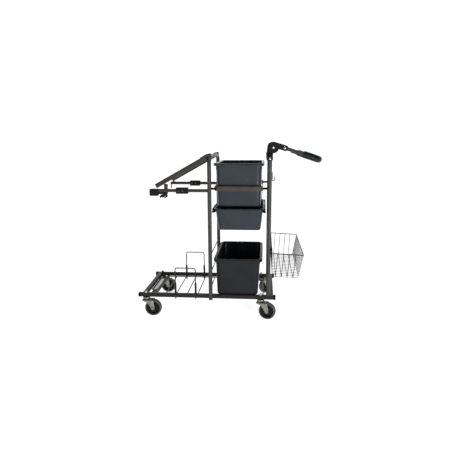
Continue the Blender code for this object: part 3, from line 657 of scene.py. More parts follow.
low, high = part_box("deck_grid")
rod_height, wire_height = low.z + 0.0028, high.z - 0.0025
ROD_COUNT, ROD_PITCH, FIRST_ROD = 10, 0.066, 0.150
left_end = rail_boxes["front"][0].x
deck = []
for i in range(ROD_COUNT):
    x = left_end + FIRST_ROD + ROD_PITCH * i
    deck.append([(x, low.y, rod_height), (x, high.y, rod_height)])
for y in (low.y + 0.0028, high.y - 0.0028):
    deck.append([(low.x, y, wire_height), (high.x, y, wire_height)])
rod("deck_rods", deck, 0.0068, shaded_wire_paint, "frame", "wire_coat", "deck_grid", sides=14)

# %% [markdown]
# ## Guard loops
# Each loop is one bent wire standing in two sleeves on a rail's inner face. The sleeves
# are real tubes, so the wire is seen going down into them.

# %% Guard loops and their sleeves
for side in SIDES:
    low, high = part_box(f"guard_loop_{side}")
    radius, y = (high.y - low.y) / 2, (low.y + high.y) / 2
    left, right, top = low.x + radius, high.x - radius, high.z - radius
    path = [(left, y, low.z), (left, y, top), (right, y, top), (right, y, low.z)]
    rod(f"guard_wire_{side}", [path], 2 * radius + 0.0008, shaded_wire_paint, f"guard_{side}", "wire_coat",
        f"guard_loop_{side}", bend=0.012, sides=16)
    sleeves = []
    for end in ("left", "right"):
        low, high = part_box(f"guard_socket_{side}_{end}")
        outer, inner, tall = (high.x - low.x) / 2, 0.0043, high.z - low.z
        wall = [(inner, 0), (outer - 0.0005, 0), (outer, 0.0008), (outer, tall - 0.0008)]
        wall += [(outer - 0.0005, tall), (inner, tall), (inner, 0)]
        sleeves.append((wall, ((low.x + high.x) / 2, (low.y + high.y) / 2, low.z), (0, 0, 1)))
    turned_piece(f"guard_sleeves_{side}", sleeves, shaded_wire_paint, "frame", "wire_coat",
                 f"guard_socket_{side}_left", f"guard_socket_{side}_right", segments=24)

# %% [markdown]
# ## Uprights
# The hoop is one tube bent over the cart at both top corners, with two rods welded
# between its legs and a bolt through each foot. Its path has four points, and the bar tree
# rounds the two upper ones.

# %% Hoop and its rods
low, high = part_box("mid_hoop")
hoop_radius, hoop_x = (high.x - low.x) / 2, (low.x + high.x) / 2
leg_y, hoop_top = high.y - hoop_radius, high.z - hoop_radius
path = [(hoop_x, -leg_y, low.z), (hoop_x, -leg_y, hoop_top), (hoop_x, leg_y, hoop_top), (hoop_x, leg_y, low.z)]
rod("hoop_tube", [path], 2 * hoop_radius, frame_paint, *COAT, "mid_hoop", bend=0.050, sides=40)
cross_rods = []
for which in ("upper", "lower"):
    low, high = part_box(f"hoop_rod_{which}")
    z = (low.z + high.z) / 2
    cross_rods.append([(hoop_x, low.y - 0.002, z), (hoop_x, high.y + 0.002, z)])
rod("hoop_rods", cross_rods, 0.006, shaded_wire_paint, *COAT, "hoop_rod_upper", "hoop_rod_lower", sides=16)
for side, sign in SIDES.items():
    bolt = (hoop_x, sign * (leg_y + hoop_radius - 0.0003), (RAIL_TOP + RAIL_BOTTOM) / 2)
    screws(f"hoop_bolt_{side}", [bolt], (0, sign, 0), 0.0052, *COAT, frame_paint)

# %% [markdown]
# ### Posts
# The posts stand on the rails and are tied by a cross tube behind the bins. A thin bead of
# weld runs round each foot: a turned ring with a sloping outside.

# %% Posts, cross tube and weld beads
post_boxes = {side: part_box(f"handle_post_{side}") for side in SIDES}
low, high = post_boxes["front"]
post_radius, post_x = (high.x - low.x) / 2, (low.x + high.x) / 2
beads = []
for side, sign in SIDES.items():
    low, high = post_boxes[side]
    y = (low.y + high.y) / 2
    line = [(post_x, y, low.z - 0.0003), (post_x, y, high.z)]
    rod(f"post_tube_{side}", [line], 2 * post_radius, frame_paint, *COAT, f"handle_post_{side}", sides=40)
    bead = [(post_radius - 0.001, 0), (post_radius + 0.0024, 0), (post_radius + 0.0016, 0.0016)]
    bead += [(post_radius - 0.0002, 0.0030), (post_radius - 0.001, 0)]
    beads.append((bead, (post_x, y, low.z - 0.0004), (0, 0, 1)))
turned_piece("post_welds", beads, frame_paint, *COAT)
low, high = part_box("post_cross_tube")
z = (low.z + high.z) / 2
line = [(post_x, low.y, z), (post_x, high.y, z)]
rod("post_tie_tube", [line], high.z - low.z, frame_paint, *COAT, "post_cross_tube", sides=28)

# %% [markdown]
# ## Handle joints
# Each joint is two moulded halves round one bolt. The lower half grips the post and has
# the inner half of the round hinge, the upper half grips the handle's tube and has the
# outer half. Both outlines are one formula: a round head, a fillet and a neck.

# %% Outline of a joint half
tilt_joint = joints["handle_tilt"]
pivot = Vector(tilt_joint["pos_m"])
low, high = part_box("joint_base_front")
HINGE_RADIUS, HALF_WIDTH = high.z - pivot.z, (high.y - low.y) / 2
POST_OFFSET, ARM_OFFSET, ARM_FOOT = pivot.x - post_x, 0.0165, 0.0745
BOSS = [(0, 0), (0.0190, 0), (0.0190, 0.0010), (0.0182, 0.0018)]
BOSS += [(0.0120, 0.0018), (0.0112, 0.0008), (0, 0.0008)]


def neck_end(left, right, reach, foot_round):
    """The round corners at a neck's foot, from its right side to its left."""
    corners = arc((right - foot_round, -reach + foot_round), foot_round, 0, -90, 5)
    return corners + arc((left + foot_round, -reach + foot_round), foot_round, -90, -180, 5)


def lever_outline(offset, neck_half, reach, foot_round):
    """A round head at the origin and a neck that leaves it downwards, offset to -X. It is
    drawn pointing down; the arm turns it."""
    left, right = -offset - neck_half, -offset + neck_half
    points = arc((0, 0), HINGE_RADIUS, 170, -52, 30)
    fillet = 0.010
    start = Vector(points[-1])
    corner = Vector((right, start.y - 0.003))
    end = Vector((right, corner.y - fillet))
    for i in range(1, 6):
        t = i / 6
        points.append(tuple((1 - t) ** 2 * start + 2 * t * (1 - t) * corner + t * t * end))
    return points + neck_end(left, right, reach, foot_round)


def cheek_outline(offset, left_half, right_half, top, reach, foot_round):
    """The shorter plate beside a neck, which closes the half where the other one's head is."""
    left, right = -offset - left_half, -offset + right_half
    return [(left, -top), (right, -top)] + neck_end(left, right, reach, foot_round)


def joint_half(bm, outline, low, high, rim_face, place):
    """A moulded half with a raised border round the recess in its outer face."""
    slab(bm, outline, low, high, 0.0012, place)
    bm.faces.ensure_lookup_table()
    wanted = place.to_3x3() @ Vector((0, rim_face, 0))
    face = max((f for f in bm.faces if f.normal.dot(wanted) > 0.99), key=lambda f: f.calc_area())
    bmesh.ops.inset_individual(bm, faces=[face], thickness=0.0026, depth=0)
    bmesh.ops.inset_individual(bm, faces=[face], thickness=0.0007, depth=-0.0011)


# %% [markdown]
# ### Both joints
# Each half is a lever on one side of the bolt and a shorter cheek on the other, so that
# the two heads lie face to face. A raised border runs round each outer face, a round boss
# stands in the middle of the upper one, and bright screws hold the bolt, post and arm.

# %% Both joints
POST_Y = (post_boxes["rear"][0].y + post_boxes["rear"][1].y) / 2
bow_axis = Vector(joints["handle_telescope"]["axis"])
up_arm = Vector((-bow_axis.z, 0, bow_axis.x))
drop = math.atan2(-bow_axis.z, bow_axis.x)
for side, sign in SIDES.items():
    y = sign * POST_Y
    here = Matrix.Translation((pivot.x, y, pivot.z))
    along_arm = here @ Matrix.Rotation(drop - math.radians(90), 4, "Y") @ Matrix.Diagonal((-1, 1, 1, 1))
    neck_foot = pivot.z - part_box(f"joint_base_{side}")[0].z
    inner, outer = sorted((-sign * 0.0002, -sign * HALF_WIDTH)), sorted((sign * 0.0002, sign * HALF_WIDTH))

    base = bmesh.new()
    joint_half(base, lever_outline(POST_OFFSET + 0.002, 0.0180, neck_foot, 0.006), *inner, -sign, here)
    cheek = cheek_outline(POST_OFFSET, 0.0200, 0.0160, HINGE_RADIUS + 0.004, neck_foot, 0.006)
    joint_half(base, cheek, *outer, sign, here)
    settle_bmesh(f"joint_lower_{side}", base, black_nylon, *BLACK, f"joint_base_{side}")

    arm = bmesh.new()
    joint_half(arm, lever_outline(ARM_OFFSET, 0.0155, ARM_FOOT, 0.009), *outer, sign, along_arm)
    cheek = cheek_outline(ARM_OFFSET, 0.0155, 0.0155, 0.0345, ARM_FOOT, 0.009)
    joint_half(arm, cheek, *inner, -sign, along_arm)
    boss_face = y + sign * (HALF_WIDTH - 0.0012)
    lathe(arm, BOSS, (pivot.x, boss_face, pivot.z), (0, sign, 0), 40)
    settle_bmesh(f"joint_upper_{side}", arm, black_nylon, "handle", "black_plastic", f"joint_arm_{side}")

    outside, inside = y + sign * (HALF_WIDTH - 0.0006), y - sign * (HALF_WIDTH - 0.0006)
    bolt = (f"pivot_bolt_{side}",)
    screws(f"pivot_screw_{side}", [(pivot.x, outside, pivot.z)], (0, sign, 0), 0.0068, "frame", nodes=bolt)
    screws(f"pivot_nut_{side}", [(pivot.x, inside, pivot.z)], (0, -sign, 0), 0.0068, "frame")
    post_screw = (post_x, outside, pivot.z - neck_foot + 0.010)
    screws(f"post_screw_{side}", [post_screw], (0, sign, 0), 0.0062, "frame")
    lie = pivot + bow_axis * 0.0590 + up_arm * ARM_OFFSET
    screws(f"arm_screw_{side}", [(lie.x, outside, lie.z)], (0, sign, 0), 0.0066, "handle")

# %% [markdown]
# ## Push bow
# Inner tubes stand in the joints, and the bow slides on them. Its soft sleeve covers both
# bends and the cross tube. A small black tab under each side releases the bow's length.

# %% Slide tubes, bow and sleeve
axis_origin = Vector((pivot.x, 0, pivot.z)) + up_arm * ARM_OFFSET


def on_bow(along, across):
    """A point of the bow's middle line: distance from the pivot, and Y."""
    return axis_origin + bow_axis * along + Vector((0, across, 0))


bow_start, grip_start, bow_reach, bow_bend = 0.132, 0.167, 0.259, 0.045
bow_width, grip_width, slide_width = 0.023, 0.0385, 0.0195
for side, sign in SIDES.items():
    line = [on_bow(0.055, sign * POST_Y), on_bow(0.172, sign * POST_Y)]
    rod(f"slide_bar_{side}", [line], slide_width, frame_paint, "handle", "frame_coat",
        f"slide_tube_{side}", sides=32)


def bow_path(start):
    """Along one side, across and back, from a distance beyond the pivot."""
    corners = ((start, -POST_Y), (bow_reach, -POST_Y), (bow_reach, POST_Y), (start, POST_Y))
    return [on_bow(along, across) for along, across in corners]


rod("bow_tube", [bow_path(bow_start)], bow_width, frame_paint, "push_bow", "frame_coat", "handle_bow",
    bend=bow_bend, sides=36)
rod("bow_sleeve", [bow_path(grip_start)], grip_width, grip_rubber, "push_bow", "grip_rubber", "handle_grip",
    bend=bow_bend, sides=40)
tabs = bmesh.new()
for side, sign in SIDES.items():
    place = Matrix.Translation(on_bow(bow_start, sign * POST_Y)) @ Matrix.Rotation(drop, 4, "Y")
    tab = bmesh.new()
    block(tab, (-0.008, -0.0065, -0.0142), (0.036, 0.0065, -0.009), 0.0012)
    tab.transform(place)
    spare = bpy.data.meshes.new("spare")
    tab.to_mesh(spare)
    tab.free()
    tabs.from_mesh(spare)
    bpy.data.meshes.remove(spare)
settle_bmesh("bow_tabs", tabs, black_nylon, "push_bow", "black_plastic")

# %% [markdown]
# ## Bins
# A bin is one moulded wall that rises with a little draft, steps out at a stacking
# shoulder, rolls over into a flange and turns down as a lip. The levels of the loft
# follow that line, and Solidify gives it its thickness.


# %% A moulded bin
BIN_LIP, BIN_WALL = 0.009, 0.0026


def moulded_bin(name, node, slot, finish_used, foot, skirt, shoulder):
    """foot is (centre x, half x, half y) at the bottom, skirt the height of the turned-down
    lip, and shoulder how far the step is below the top."""
    low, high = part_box(node)
    rim_x = (low.x + high.x) / 2
    half = ((high.x - low.x) / 2, (high.y - low.y) / 2)
    floor, top = low.z, high.z
    body_half = (half[0] - BIN_LIP, half[1] - BIN_LIP)
    foot_x, foot_half = foot[0], (foot[1], foot[2])

    def level(part, inset, radius, height):
        """part runs from 0 at the foot to 1 under the rim."""
        x = foot_x + (rim_x - foot_x) * part
        wide = [f + (b - f) * part - inset for f, b in zip(foot_half, body_half)]
        return (x, 0), wide, radius, height

    tall = top - floor
    levels = [level(0, 0.018, 0.010, floor + 0.0025), level(0, 0.016, 0.010, floor + 0.0002)]
    for angle in (0, 22, 45, 68, 90):
        turn_in = 0.006 * (1 - math.sin(math.radians(angle)))
        levels.append(level(0, turn_in, 0.020, floor + 0.006 * (1 - math.cos(math.radians(angle)))))
    step = top - shoulder
    part = (step - floor) / tall
    levels.append(level(part * 0.5, 0, 0.027, floor + tall * part * 0.5))
    levels.append(level(part, 0.0012, 0.029, step - 0.003))
    levels += [level(part, 0.0004, 0.030, step - 0.001), level(part, -0.0006, 0.030, step + 0.001)]
    levels.append(level(1, 0.0020, 0.031, top - 0.0045))
    for angle in (20, 45, 70, 90):
        roll = 0.004 * (1 - math.cos(math.radians(angle)))
        levels.append(level(1, 0.0020 - roll, 0.031, top - 0.0045 + 0.0045 * math.sin(math.radians(angle))))
    flange = BIN_LIP - 0.0035
    levels.append(level(1, -flange, 0.034, top))
    for angle in (25, 50, 75, 90):
        roll = 0.0034 * math.sin(math.radians(angle))
        levels.append(level(1, -flange - roll, 0.036, top - 0.0034 * (1 - math.cos(math.radians(angle)))))
    levels.append(level(1, -BIN_LIP, 0.036, top - skirt))
    bm = bmesh.new()
    loft(bm, levels)
    mesh = bpy.data.meshes.new(name)
    bm.to_mesh(mesh)
    bm.free()
    piece = settle(name, mesh, finish_used, node, slot, node, smooth=50)
    wall = piece.modifiers.new("wall", "SOLIDIFY")
    wall.thickness, wall.offset, wall.use_even_offset = BIN_WALL, -1, True


# %% [markdown]
# ### Three bins
# The deep top bin, the shallow tray and the large lower bin come from the same function.
# Each one's rim is its node's box, so only the foot, the lip's height and the shoulder are
# given. The two upper bins are slate and the lower one is charcoal and duller.

# %% Three bins
for name, node, slot, plastic, foot, skirt, shoulder in (
    ("top_bin_moulding", "top_bin", "slate_bin", slate_polypropylene, (0.602, 0.1225, 0.200), 0.0125, 0.034),
    ("tray_moulding", "middle_tray", "slate_bin", slate_polypropylene, (0.603, 0.122, 0.200), 0.0105, 0.022),
    ("lower_bin_moulding", "lower_bin", "charcoal_bin", charcoal_polypropylene,
     (0.5925, 0.1205, 0.209), 0.014, 0.030),
):
    moulded_bin(name, node, slot, plastic, (left_end + foot[0], foot[1], foot[2]), skirt, shoulder)

# %% [markdown]
# ## Bin cradle and tray runners
# A flat-bar ring holds the top bin at half height. Round black pegs carry it on the hoop
# and the posts. Two straps hug the bin and run under it, and their ends hold the angle
# runners that the tray hangs in. The ring is a closed path through the bar tree, and each
# strap an outline with thickness.

# %% Ring and straps
low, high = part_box("bin_cradle")
RING_LOW, RING_HIGH = 0.757, 0.783
ring_centre, ring_half = left_end + 0.6005, (0.1365, 0.232)
inset = 0.002
corners = [
    (ring_centre + sx * (ring_half[0] - inset), sy * (ring_half[1] - inset), (RING_LOW + RING_HIGH) / 2)
    for sx, sy in ((1, -1), (1, 1), (-1, 1), (-1, -1))
]
band = (0.004, RING_HIGH - RING_LOW)
bar("cradle_ring", [corners], band, 0.0012, lit_band_paint, *COAT, "bin_cradle", bend=0.014, closed=True)
straps = bmesh.new()
STRIP, KNEE = 0.003, 0.782
under, over = low.z, low.z + STRIP
for side, sign in SIDES.items():
    y = sign * 0.120
    outline = [(-0.150, under), (0.150, under), (0.150, over), (0.1260, over)]
    outline += [(0.1335, KNEE), (0.1305, KNEE), (0.1230, over), (-0.1235, over)]
    outline += [(-0.1370, KNEE), (-0.1400, KNEE), (-0.1265, over), (-0.150, over)]
    outline = [(left_end + 0.6025 + x, z) for x, z in outline]
    slab(straps, outline, y - 0.010, y + 0.010, 0.0004)
settle_bmesh("cradle_straps", straps, lit_band_paint, *COAT)

# %% [markdown]
# ### Pegs, rivets and runners
# The pegs are plain round bars. A runner is an angle: an outline of its section, given
# length along the tray, with a black cap on its front end. The cap stays under and outside
# the angle, because the tray's lip slides along its inside.

# %% Pegs, rivets and runners
hoop_face, post_face = hoop_x + hoop_radius, post_x - post_radius
peg_z = (RING_LOW + RING_HIGH) / 2
pegs = []
for sign in (-1, 1):
    left_y, right_y = sign * 0.2295, sign * 0.212
    pegs.append([(hoop_face - 0.0005, left_y, peg_z), (ring_centre - ring_half[0] + 0.014, left_y, peg_z)])
    pegs.append([(ring_centre + ring_half[0] - 0.002, right_y, peg_z), (post_face + 0.0005, right_y, peg_z)])
rod("cradle_pegs", pegs, 0.0124, cap_plastic, *BLACK, sides=20)
for side, sign in SIDES.items():
    spots = [(ring_centre + dx, sign * (ring_half[1] - 0.0002), peg_z) for dx in (-0.122, 0.122)]
    screws(f"ring_rivets_{side}", spots, (0, sign, 0), 0.0032, *COAT, frame_paint)
for end, sign in (("left", -1), ("right", 1)):
    low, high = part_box(f"tray_runner_{end}")
    web = high.x if sign > 0 else low.x
    inner = low.x if sign > 0 else high.x
    outline = [(web, low.z), (web, high.z), (web - sign * STRIP, high.z), (web - sign * STRIP, low.z + STRIP)]
    outline += [(inner, low.z + STRIP), (inner, low.z)]
    bm = bmesh.new()
    slab(bm, outline, low.y, high.y, 0.0004)
    settle_bmesh(f"runner_{end}", bm, lit_band_paint, *COAT, f"tray_runner_{end}")
    near, far = low.y - 0.0035, low.y + 0.012
    wall = sorted((web + sign * 0.0014, web - sign * 0.0008))
    sole = sorted((inner + sign * 0.0050, web + sign * 0.0012))
    upright = ((wall[0], near, low.z - 0.0012), (wall[1], far, low.z + 0.0100), 0.0012)
    flat = ((sole[0], near, low.z - 0.0014), (sole[1], far, low.z + 0.0012), 0.0010)
    blocks(f"runner_cap_{end}", [upright, flat], cap_plastic, *BLACK)

# %% [markdown]
# ## Bag frame
# Two round arms leave the hoop, each joined in its middle by a black two-screw coupling.
# A short strut stands on each arm, and the rear arm's end has a lug under it. A coupling
# is a block with three thin ribs round it.

# %% Arms, struts and couplings
ARM_RADIUS, ARM_Z, RIB = 0.0095, 0.759, 0.0008
STRUTS = {"front": (0.181, 0.199, 0.0361), "rear": (0.134, 0.146, 0.0118)}
for side, sign in SIDES.items():
    low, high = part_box(f"bag_arm_{side}")
    low_x, arm_y = low.x + (0.001 if side == "rear" else 0), sign * leg_y
    line = [(low_x, arm_y, ARM_Z), (high.x + 0.001, arm_y, ARM_Z)]
    rod(f"arm_tube_{side}", [line], 2 * ARM_RADIUS, frame_paint, *COAT, f"bag_arm_{side}", sides=32)
    left, right, tall = STRUTS[side]
    inner, outer = sorted((arm_y - sign * 0.016, arm_y + sign * 0.006))
    foot = (left_end + left, inner, ARM_Z + ARM_RADIUS - 0.002)
    struts = [(foot, (left_end + right, outer, ARM_Z + tall), 0.0012)]
    if side == "rear":
        lug_low = (low_x - 0.001, arm_y - 0.006, ARM_Z - 0.033)
        struts.append((lug_low, (low_x + 0.005, arm_y + 0.006, ARM_Z), 0.0012))
    blocks(f"arm_strut_{side}", struts, frame_paint, *COAT)
    low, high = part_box(f"arm_coupling_{side}")
    middle = (low + high) / 2
    parts = [(low, high, 0.0035, 4)]
    for x in (low.x + 0.006, high.x - 0.006, middle.x):
        rib_low = (x - 0.0012, low.y - RIB, low.z - RIB)
        parts.append((rib_low, (x + 0.0012, high.y + RIB, high.z + RIB), 0.0009, 2))
    blocks(f"coupling_{side}", parts, black_nylon, *BLACK, f"arm_coupling_{side}")
    for which, way, face in (("near", -1, low.y), ("far", 1, high.y)):
        spots = [(middle.x + dx, face - way * 0.0002, middle.z) for dx in (-0.019, 0.004)]
        screws(f"coupling_screws_{side}_{which}", spots, (0, way, 0), 0.0034, "frame", "zinc", zinc_plate)

# %% [markdown]
# ### Stays
# A rectangular stay slopes up from each strut to the hoop's top tube, where its flattened
# end is bolted down. The tube stops at the hoop, and a tab, an outline with thickness,
# goes on along its top, bends level and lies on the hoop over a small saddle.

# %% Stays
STAY_RISE, STAY_WIDTH, STAY_DEPTH, STAY_Y, TAB = 0.5555, 0.020, 0.025, 0.218, 0.004
slope = math.atan(STAY_RISE)
away = Vector((math.cos(slope), 0, math.sin(slope)))
across = Vector((-math.sin(slope), 0, math.cos(slope))) * STAY_DEPTH / 2
hoop_left, crest = hoop_x - hoop_radius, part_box("mid_hoop")[1].z + 0.0003
foot = Vector((left_end + 0.131, 0, 0.782))
run = (hoop_left - 0.0006 - foot.x - STAY_DEPTH / 2 * math.sin(slope)) / math.cos(slope)
rise = foot.z - foot.x * STAY_RISE + STAY_DEPTH / 2 / math.cos(slope)
back, bend, tip = left_end + 0.385, (crest - rise) / STAY_RISE, hoop_x + 0.0105
upper, lower = foot + away * (run - 0.002) + across, foot + away * run - across
tab_outline = [(back, back * STAY_RISE + rise - 0.004), (upper.x, upper.z - 0.002), (lower.x, lower.z)]
tab_outline += [(hoop_left, lower.z), (hoop_left, crest), (tip, crest)]
tab_outline += [(tip, crest + TAB), (bend, crest + TAB), (back, back * STAY_RISE + rise + 0.0035)]
for side, sign in SIDES.items():
    start = foot + Vector((0, sign * STAY_Y, 0))
    bar(f"stay_tube_{side}", [[start, start + away * run]], (STAY_WIDTH, STAY_DEPTH), 0.0028,
        frame_paint, *COAT, f"bag_stay_{side}")
    bm = bmesh.new()
    tab_y = sign * (STAY_Y - 0.013)
    slab(bm, tab_outline, tab_y - 0.016, tab_y + 0.016, 0.0012)
    saddle = (hoop_x - 0.0113, tab_y - 0.0145, crest - 0.012)
    block(bm, saddle, (hoop_x + 0.009, tab_y + 0.0145, crest + 0.001), 0.001)
    settle_bmesh(f"stay_tab_{side}", bm, frame_paint, *COAT)
    screws(f"stay_bolt_{side}", [(hoop_x, tab_y, crest + TAB)], (0, 0, 1), 0.0062, *COAT, frame_paint)

# %% [markdown]
# ## Tool clip
# A black clip at the front arm's end holds a tool's handle between its block and a jaw
# that swings on a pin. The block has four ribs, a tongue along the arm and two cheeks that
# hold the pin. The jaw is an outline round the pin, with thickness.

# %% Tool clip
low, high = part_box("tool_clip_body")
clip_y = (low.y + high.y) / 2
jaw_pin = Vector(joints["clip_jaw_swing"]["pos_m"])
parts = [((low.x, low.y, 0.729), (low.x + 0.049, high.y, high.z), 0.005, 4)]
for i in range(4):
    x = low.x + 0.008 + 0.008 * i
    parts.append(((x, low.y - RIB, 0.733), (x + 0.003, high.y + RIB, high.z + 0.0006), 0.0008, 2))
parts.append(((low.x + 0.040, clip_y - 0.011, 0.7385), (high.x, clip_y + 0.011, 0.7490), 0.002))
for sign in (-1, 1):
    near, far = sorted((clip_y + sign * 0.0084, clip_y + sign * 0.0112))
    parts.append(((jaw_pin.x - 0.0055, near, jaw_pin.z - 0.0055), (jaw_pin.x + 0.0055, far, 0.743), 0.001))
blocks("clip_block", parts, black_nylon, *BLACK, "tool_clip_body")
for side, sign in SIDES.items():
    screws(f"clip_pin_{side}", [(jaw_pin.x, clip_y + sign * 0.0112, jaw_pin.z)], (0, sign, 0), 0.0032, "frame")
bm = bmesh.new()
outline = arc((0, 0), 0.0110, -100, 110, 12)
outline += [(-0.012, 0.0085), (-0.025, 0.0065), (-0.0325, -0.001), (-0.0335, -0.0105)]
outline += [(-0.0295, -0.0125), (-0.0270, -0.0075), (-0.0165, -0.0080), (-0.008, -0.0095)]
slab(bm, outline, -0.008, 0.008, 0.0012, Matrix.Translation((jaw_pin.x, clip_y, jaw_pin.z)))
settle_bmesh("clip_jaw_lever", bm, black_nylon, "clip_jaw", "black_plastic", "tool_clip_jaw")

# %% [markdown]
# ### Post hook
# A small hook hangs on the front post for a cloth or a bag: one bent wire under a screw.

# %% Post hook
low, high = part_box("post_hook")
hook_y, boss_z = (low.y + high.y) / 2, high.z - 0.0055
stem_x, tip_x, bottom = low.x + 0.0021, high.x + 0.0020, low.z + 0.0015
bends = ((stem_x, boss_z), (stem_x, bottom), (tip_x, bottom), (tip_x, low.z + 0.026))
path = [(x, hook_y, z) for x, z in bends]
rod("hook_wire", [path], 0.0040, shaded_wire_paint, "frame", "bright_steel", "post_hook", bend=0.0039, sides=16)
screws("hook_screw", [(low.x + 0.0035, hook_y, boss_z)], (1, 0, 0), 0.0055, "frame")

# %% [markdown]
# ## Wire basket
# The basket is welded from straight wire and leans out a little from the posts it hangs
# on: a thick rim, four long U wires that run down one end, along the floor and up the
# other, and a close row of short U wires across. Each is a path with bent corners, so the
# bar tree makes all of them from the basket's four corners.

# %% Basket wires
low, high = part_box("wire_basket")
rim_r, tilt = 0.0026, math.radians(3.0)
hung_from = Vector((left_end + 0.790, 0, 0.4175))
lean_out = Matrix.Translation(hung_from) @ Matrix.Rotation(tilt, 4, "Y")
span, half_length = 0.180, high.y
LONG_WIRES, SHORT_WIRES = 4, 17
ON_BASKET = ("basket", "basket_wire")


def hung(x, y, z):
    """A point of the basket, from its upper left corner before it leans out."""
    return lean_out @ Vector((x, y, z))


def floor_at(x):
    """The height of the basket's floor, which rises a little away from the posts."""
    return -0.1455 + 0.0035 * x / span


def u_wire(x, foot):
    """A long wire: down the front end, along the floor and up the rear end."""
    corners = ((x, -y1, top), (foot, -foot_y, floor_at(foot)), (foot, foot_y, floor_at(foot)), (x, y1, top))
    return [hung(*corner) for corner in corners]


x0, x1, y1, top = rim_r, span - rim_r, half_length - rim_r, -rim_r
foot_x0, foot_x1, foot_y = 0.0115, 0.158, half_length - 0.0225
rim = [hung(x, y, top) for x, y in ((x0, -y1), (x1, -y1), (x1, y1), (x0, y1))]
rod("basket_rim", [rim], 2 * rim_r, basket_plate, *ON_BASKET, "wire_basket", bend=0.012, sides=16, closed=True)
long_wires = [u_wire(0.0335 + 0.0337 * i, 0.0312 + 0.0330 * i) for i in range(LONG_WIRES)]
rod("basket_long_wires", long_wires, 0.0040, basket_plate, *ON_BASKET, bend=0.006, sides=8)
short_wires = []
for i in range(SHORT_WIRES):
    y = -foot_y + 2 * foot_y * i / (SHORT_WIRES - 1)
    up_y = y * (y1 - 0.004) / foot_y
    left, right = floor_at(foot_x0) + 0.003, floor_at(foot_x1) + 0.003
    corners = ((x0, up_y, top), (foot_x0, y, left), (foot_x1, y, right), (x1, up_y, top))
    short_wires.append([hung(*corner) for corner in corners])
rod("basket_short_wires", short_wires, 0.0032, basket_plate, *ON_BASKET, bend=0.006, sides=8)
clips = []
for y in (-POST_Y, POST_Y):
    clip_low = (post_x + post_radius - 0.0005, y - 0.006, hung_from.z - 0.006)
    clips.append((clip_low, (hung_from.x + 0.005, y + 0.006, hung_from.z + 0.010), 0.0018))
blocks("basket_clips", clips, cap_plastic, *BLACK)

# %% [markdown]
# ## Casters
# Each caster turns on a cup under the rail. The fork is one pressed sheet: two tapering
# legs and a crown. It is lofted as a strip that goes up one leg, over the crown and down
# the other, wide at the crown and round at the axle, then given its thickness.


# %% A pressed fork
FORK_LEG_Y, EYE_RADIUS = 0.0219, 0.0105


def pressed_fork(name, swivel, turn_angle, trail, axle_z, body, node):
    """One sheet bent over the wheel. Its stations are (y, z, left x, right x), with the
    swivel's axis at the origin and the axle at the trail's distance from it."""
    crown, leg_y, plate, corner = 0.1029, FORK_LEG_Y, 0.0026, 0.007
    stations = []
    for i in range(7):
        angle = math.radians(-90 + 90 * i / 6)
        reach = EYE_RADIUS * math.cos(angle) if i else 0.0008
        stations.append((leg_y, axle_z + EYE_RADIUS * math.sin(angle), trail - reach, trail + reach))
    for t in (0.25, 0.5, 0.75, 1.0):
        z = axle_z + (crown - corner - axle_z) * t
        left = trail - EYE_RADIUS + (0.0005 - trail + EYE_RADIUS) * t - 0.023 * max(0, t - 0.75) * 4
        right = trail + EYE_RADIUS - 0.006 * t ** 2
        stations.append((leg_y, z, left, right))
    for angle in (25, 50, 75, 90):
        a = math.radians(angle)
        y = leg_y - corner * (1 - math.cos(a))
        stations.append((y, crown - corner * (1 - math.sin(a)), -0.0228, trail + 0.0045 - 0.002 * math.sin(a)))
    path = stations + [(0.0075, crown, -0.0232, trail + 0.002)]
    path += [(-y, z, left, right) for y, z, left, right in reversed(path)]
    place = Matrix.Translation((swivel.x, swivel.y, 0)) @ Matrix.Rotation(turn_angle, 4, "Z")
    bm = bmesh.new()
    columns = 6
    rows = []
    for y, z, left, right in path:
        line = [left + (right - left) * k / columns for k in range(columns + 1)]
        rows.append([bm.verts.new(place @ Vector((x, y, z))) for x in line])
    for a, b in zip(rows, rows[1:]):
        for k in range(columns):
            bm.faces.new((a[k], a[k + 1], b[k + 1], b[k]))
    bmesh.ops.recalc_face_normals(bm, faces=bm.faces)
    mesh = bpy.data.meshes.new(name)
    bm.to_mesh(mesh)
    bm.free()
    top = max(mesh.polygons, key=lambda face: face.center.z)
    if top.normal.z < 0:
        mesh.flip_normals()
    piece = settle(name, mesh, zinc_plate, body, "zinc", node, smooth=40)
    wall = piece.modifiers.new("wall", "SOLIDIFY")
    wall.thickness, wall.offset = plate, -1


# %% [markdown]
# ### A caster
# The wheel has a grey tyre on a black core with a raised hub and a dished web. Everything
# but the fork is turned, about the stem or about the axle, and the nuts are turned with
# six sides. The profiles are half of the section, and their other half is its mirror.


# %% A caster
def mirrored(profile):
    """A (radius, height) profile followed by its mirror image in the wheel's middle."""
    return profile + [(radius, -height) for radius, height in reversed(profile)]


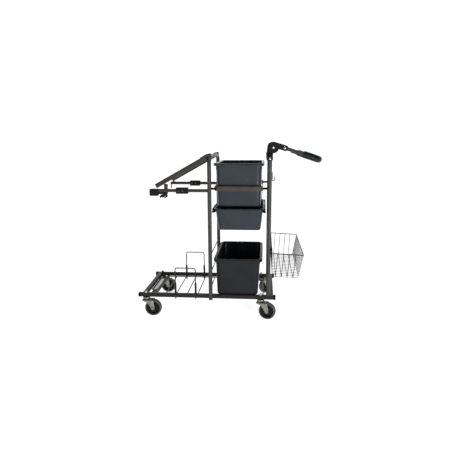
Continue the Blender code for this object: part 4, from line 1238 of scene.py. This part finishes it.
def caster(corner):
    """Fork, cup, stem, nuts, core and tyre of the caster at one corner."""
    swivel = Vector(joints[f"swivel_{corner}"]["pos_m"])
    spin = joints[f"spin_{corner}"]
    axle, axis = Vector(spin["pos_m"]), Vector(spin["axis"])
    away = Vector((axle.x - swivel.x, axle.y - swivel.y))
    turn_angle, trail = math.atan2(away.y, away.x), away.length
    fork_names = (f"fork_{corner}", f"caster_fork_{corner}")
    pressed_fork(f"fork_sheet_{corner}", swivel, turn_angle, trail, axle.z, *fork_names)

    up = (0, 0, 1)
    cup_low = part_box(f"caster_cup_{corner}")[1].z
    tall = RAIL_TOP - cup_low
    cup = [(0, -0.0160), (0.0150, -0.0160), (0.0190, -0.0125), (0.0218, -0.0075)]
    cup += [(0.0218, -0.0030), (0.0200, 0), (0, 0)]
    stem = [(0, 0), (0.0052, 0), (0.0052, tall + 0.0105), (0.0046, tall + 0.0115), (0, tall + 0.0115)]
    washer = [(0, 0.0001), (0.0105, 0.0001), (0.0105, 0.0014), (0, 0.0014)]
    ground, on_rail = (swivel.x, swivel.y, cup_low), (swivel.x, swivel.y, RAIL_TOP)
    turned = [(cup, ground, up), (stem, ground, up), (washer, on_rail, up)]
    turned_piece(f"cup_{corner}", turned, zinc_plate, "frame", "zinc", f"caster_cup_{corner}")
    nut = [(0, 0), (0.0084, 0), (0.0092, 0.0008), (0.0092, 0.0058), (0.0084, 0.0068), (0, 0.0068)]
    nuts = [(nut, (swivel.x, swivel.y, RAIL_TOP + 0.0014), up)]
    turned_piece(f"stem_nut_{corner}", nuts, bright_plate, "frame", "bright_steel", segments=6)
    head = [(0, 0.0), (0.0086, 0.0), (0.0086, 0.0030), (0.0060, 0.0042), (0, 0.0042)]
    turned_piece(f"pin_head_{corner}", [(head, (swivel.x, swivel.y, 0.0943), up)], zinc_plate, "frame", "zinc")

    axle_nut = [(0, 0), (0.0078, 0), (0.0078, 0.0006), (0.0066, 0.0034), (0.0040, 0.0040), (0, 0.0040)]
    nuts = [(axle_nut, axle + axis * sign * FORK_LEG_Y, axis * sign) for sign in (-1, 1)]
    turned_piece(f"axle_nuts_{corner}", nuts, zinc_plate, f"fork_{corner}", "zinc", segments=6)

    half, body = 0.0150, f"wheel_{corner}"
    core = [(0.0046, half + 0.0018), (0.0110, half + 0.0018), (0.0122, half + 0.0006), (0.0135, 0.0085)]
    core += [(0.0155, 0.0068), (0.0290, 0.0062), (0.0320, 0.0080), (0.0345, half - 0.0028)]
    core = mirrored(core + [(0.0360, half - 0.0012), (0.0410, half - 0.0012)])
    core.append(core[0])
    turned_piece(body, [(core, axle, axis)], wheel_nylon, body, "wheel_core", f"wheel_core_{corner}",
                 segments=48)
    tread = [(0.0412, half), (0.0450, half), (0.0474, half - 0.0010)]
    tread += [(0.0492, half - 0.0030), (0.0500, half - 0.0065)]
    tyre = [(0.0412, -half)] + mirrored(tread)
    turned_piece(f"tyre_ring_{corner}", [(tyre, axle, axis)], tyre_rubber, body, "grey_tyre",
                 f"tyre_{corner}", segments=64)


for corner in ("front_left", "front_right", "rear_left", "rear_right"):
    caster(corner)

# %% Remove the screw master
bpy.data.objects.remove(screw_master)
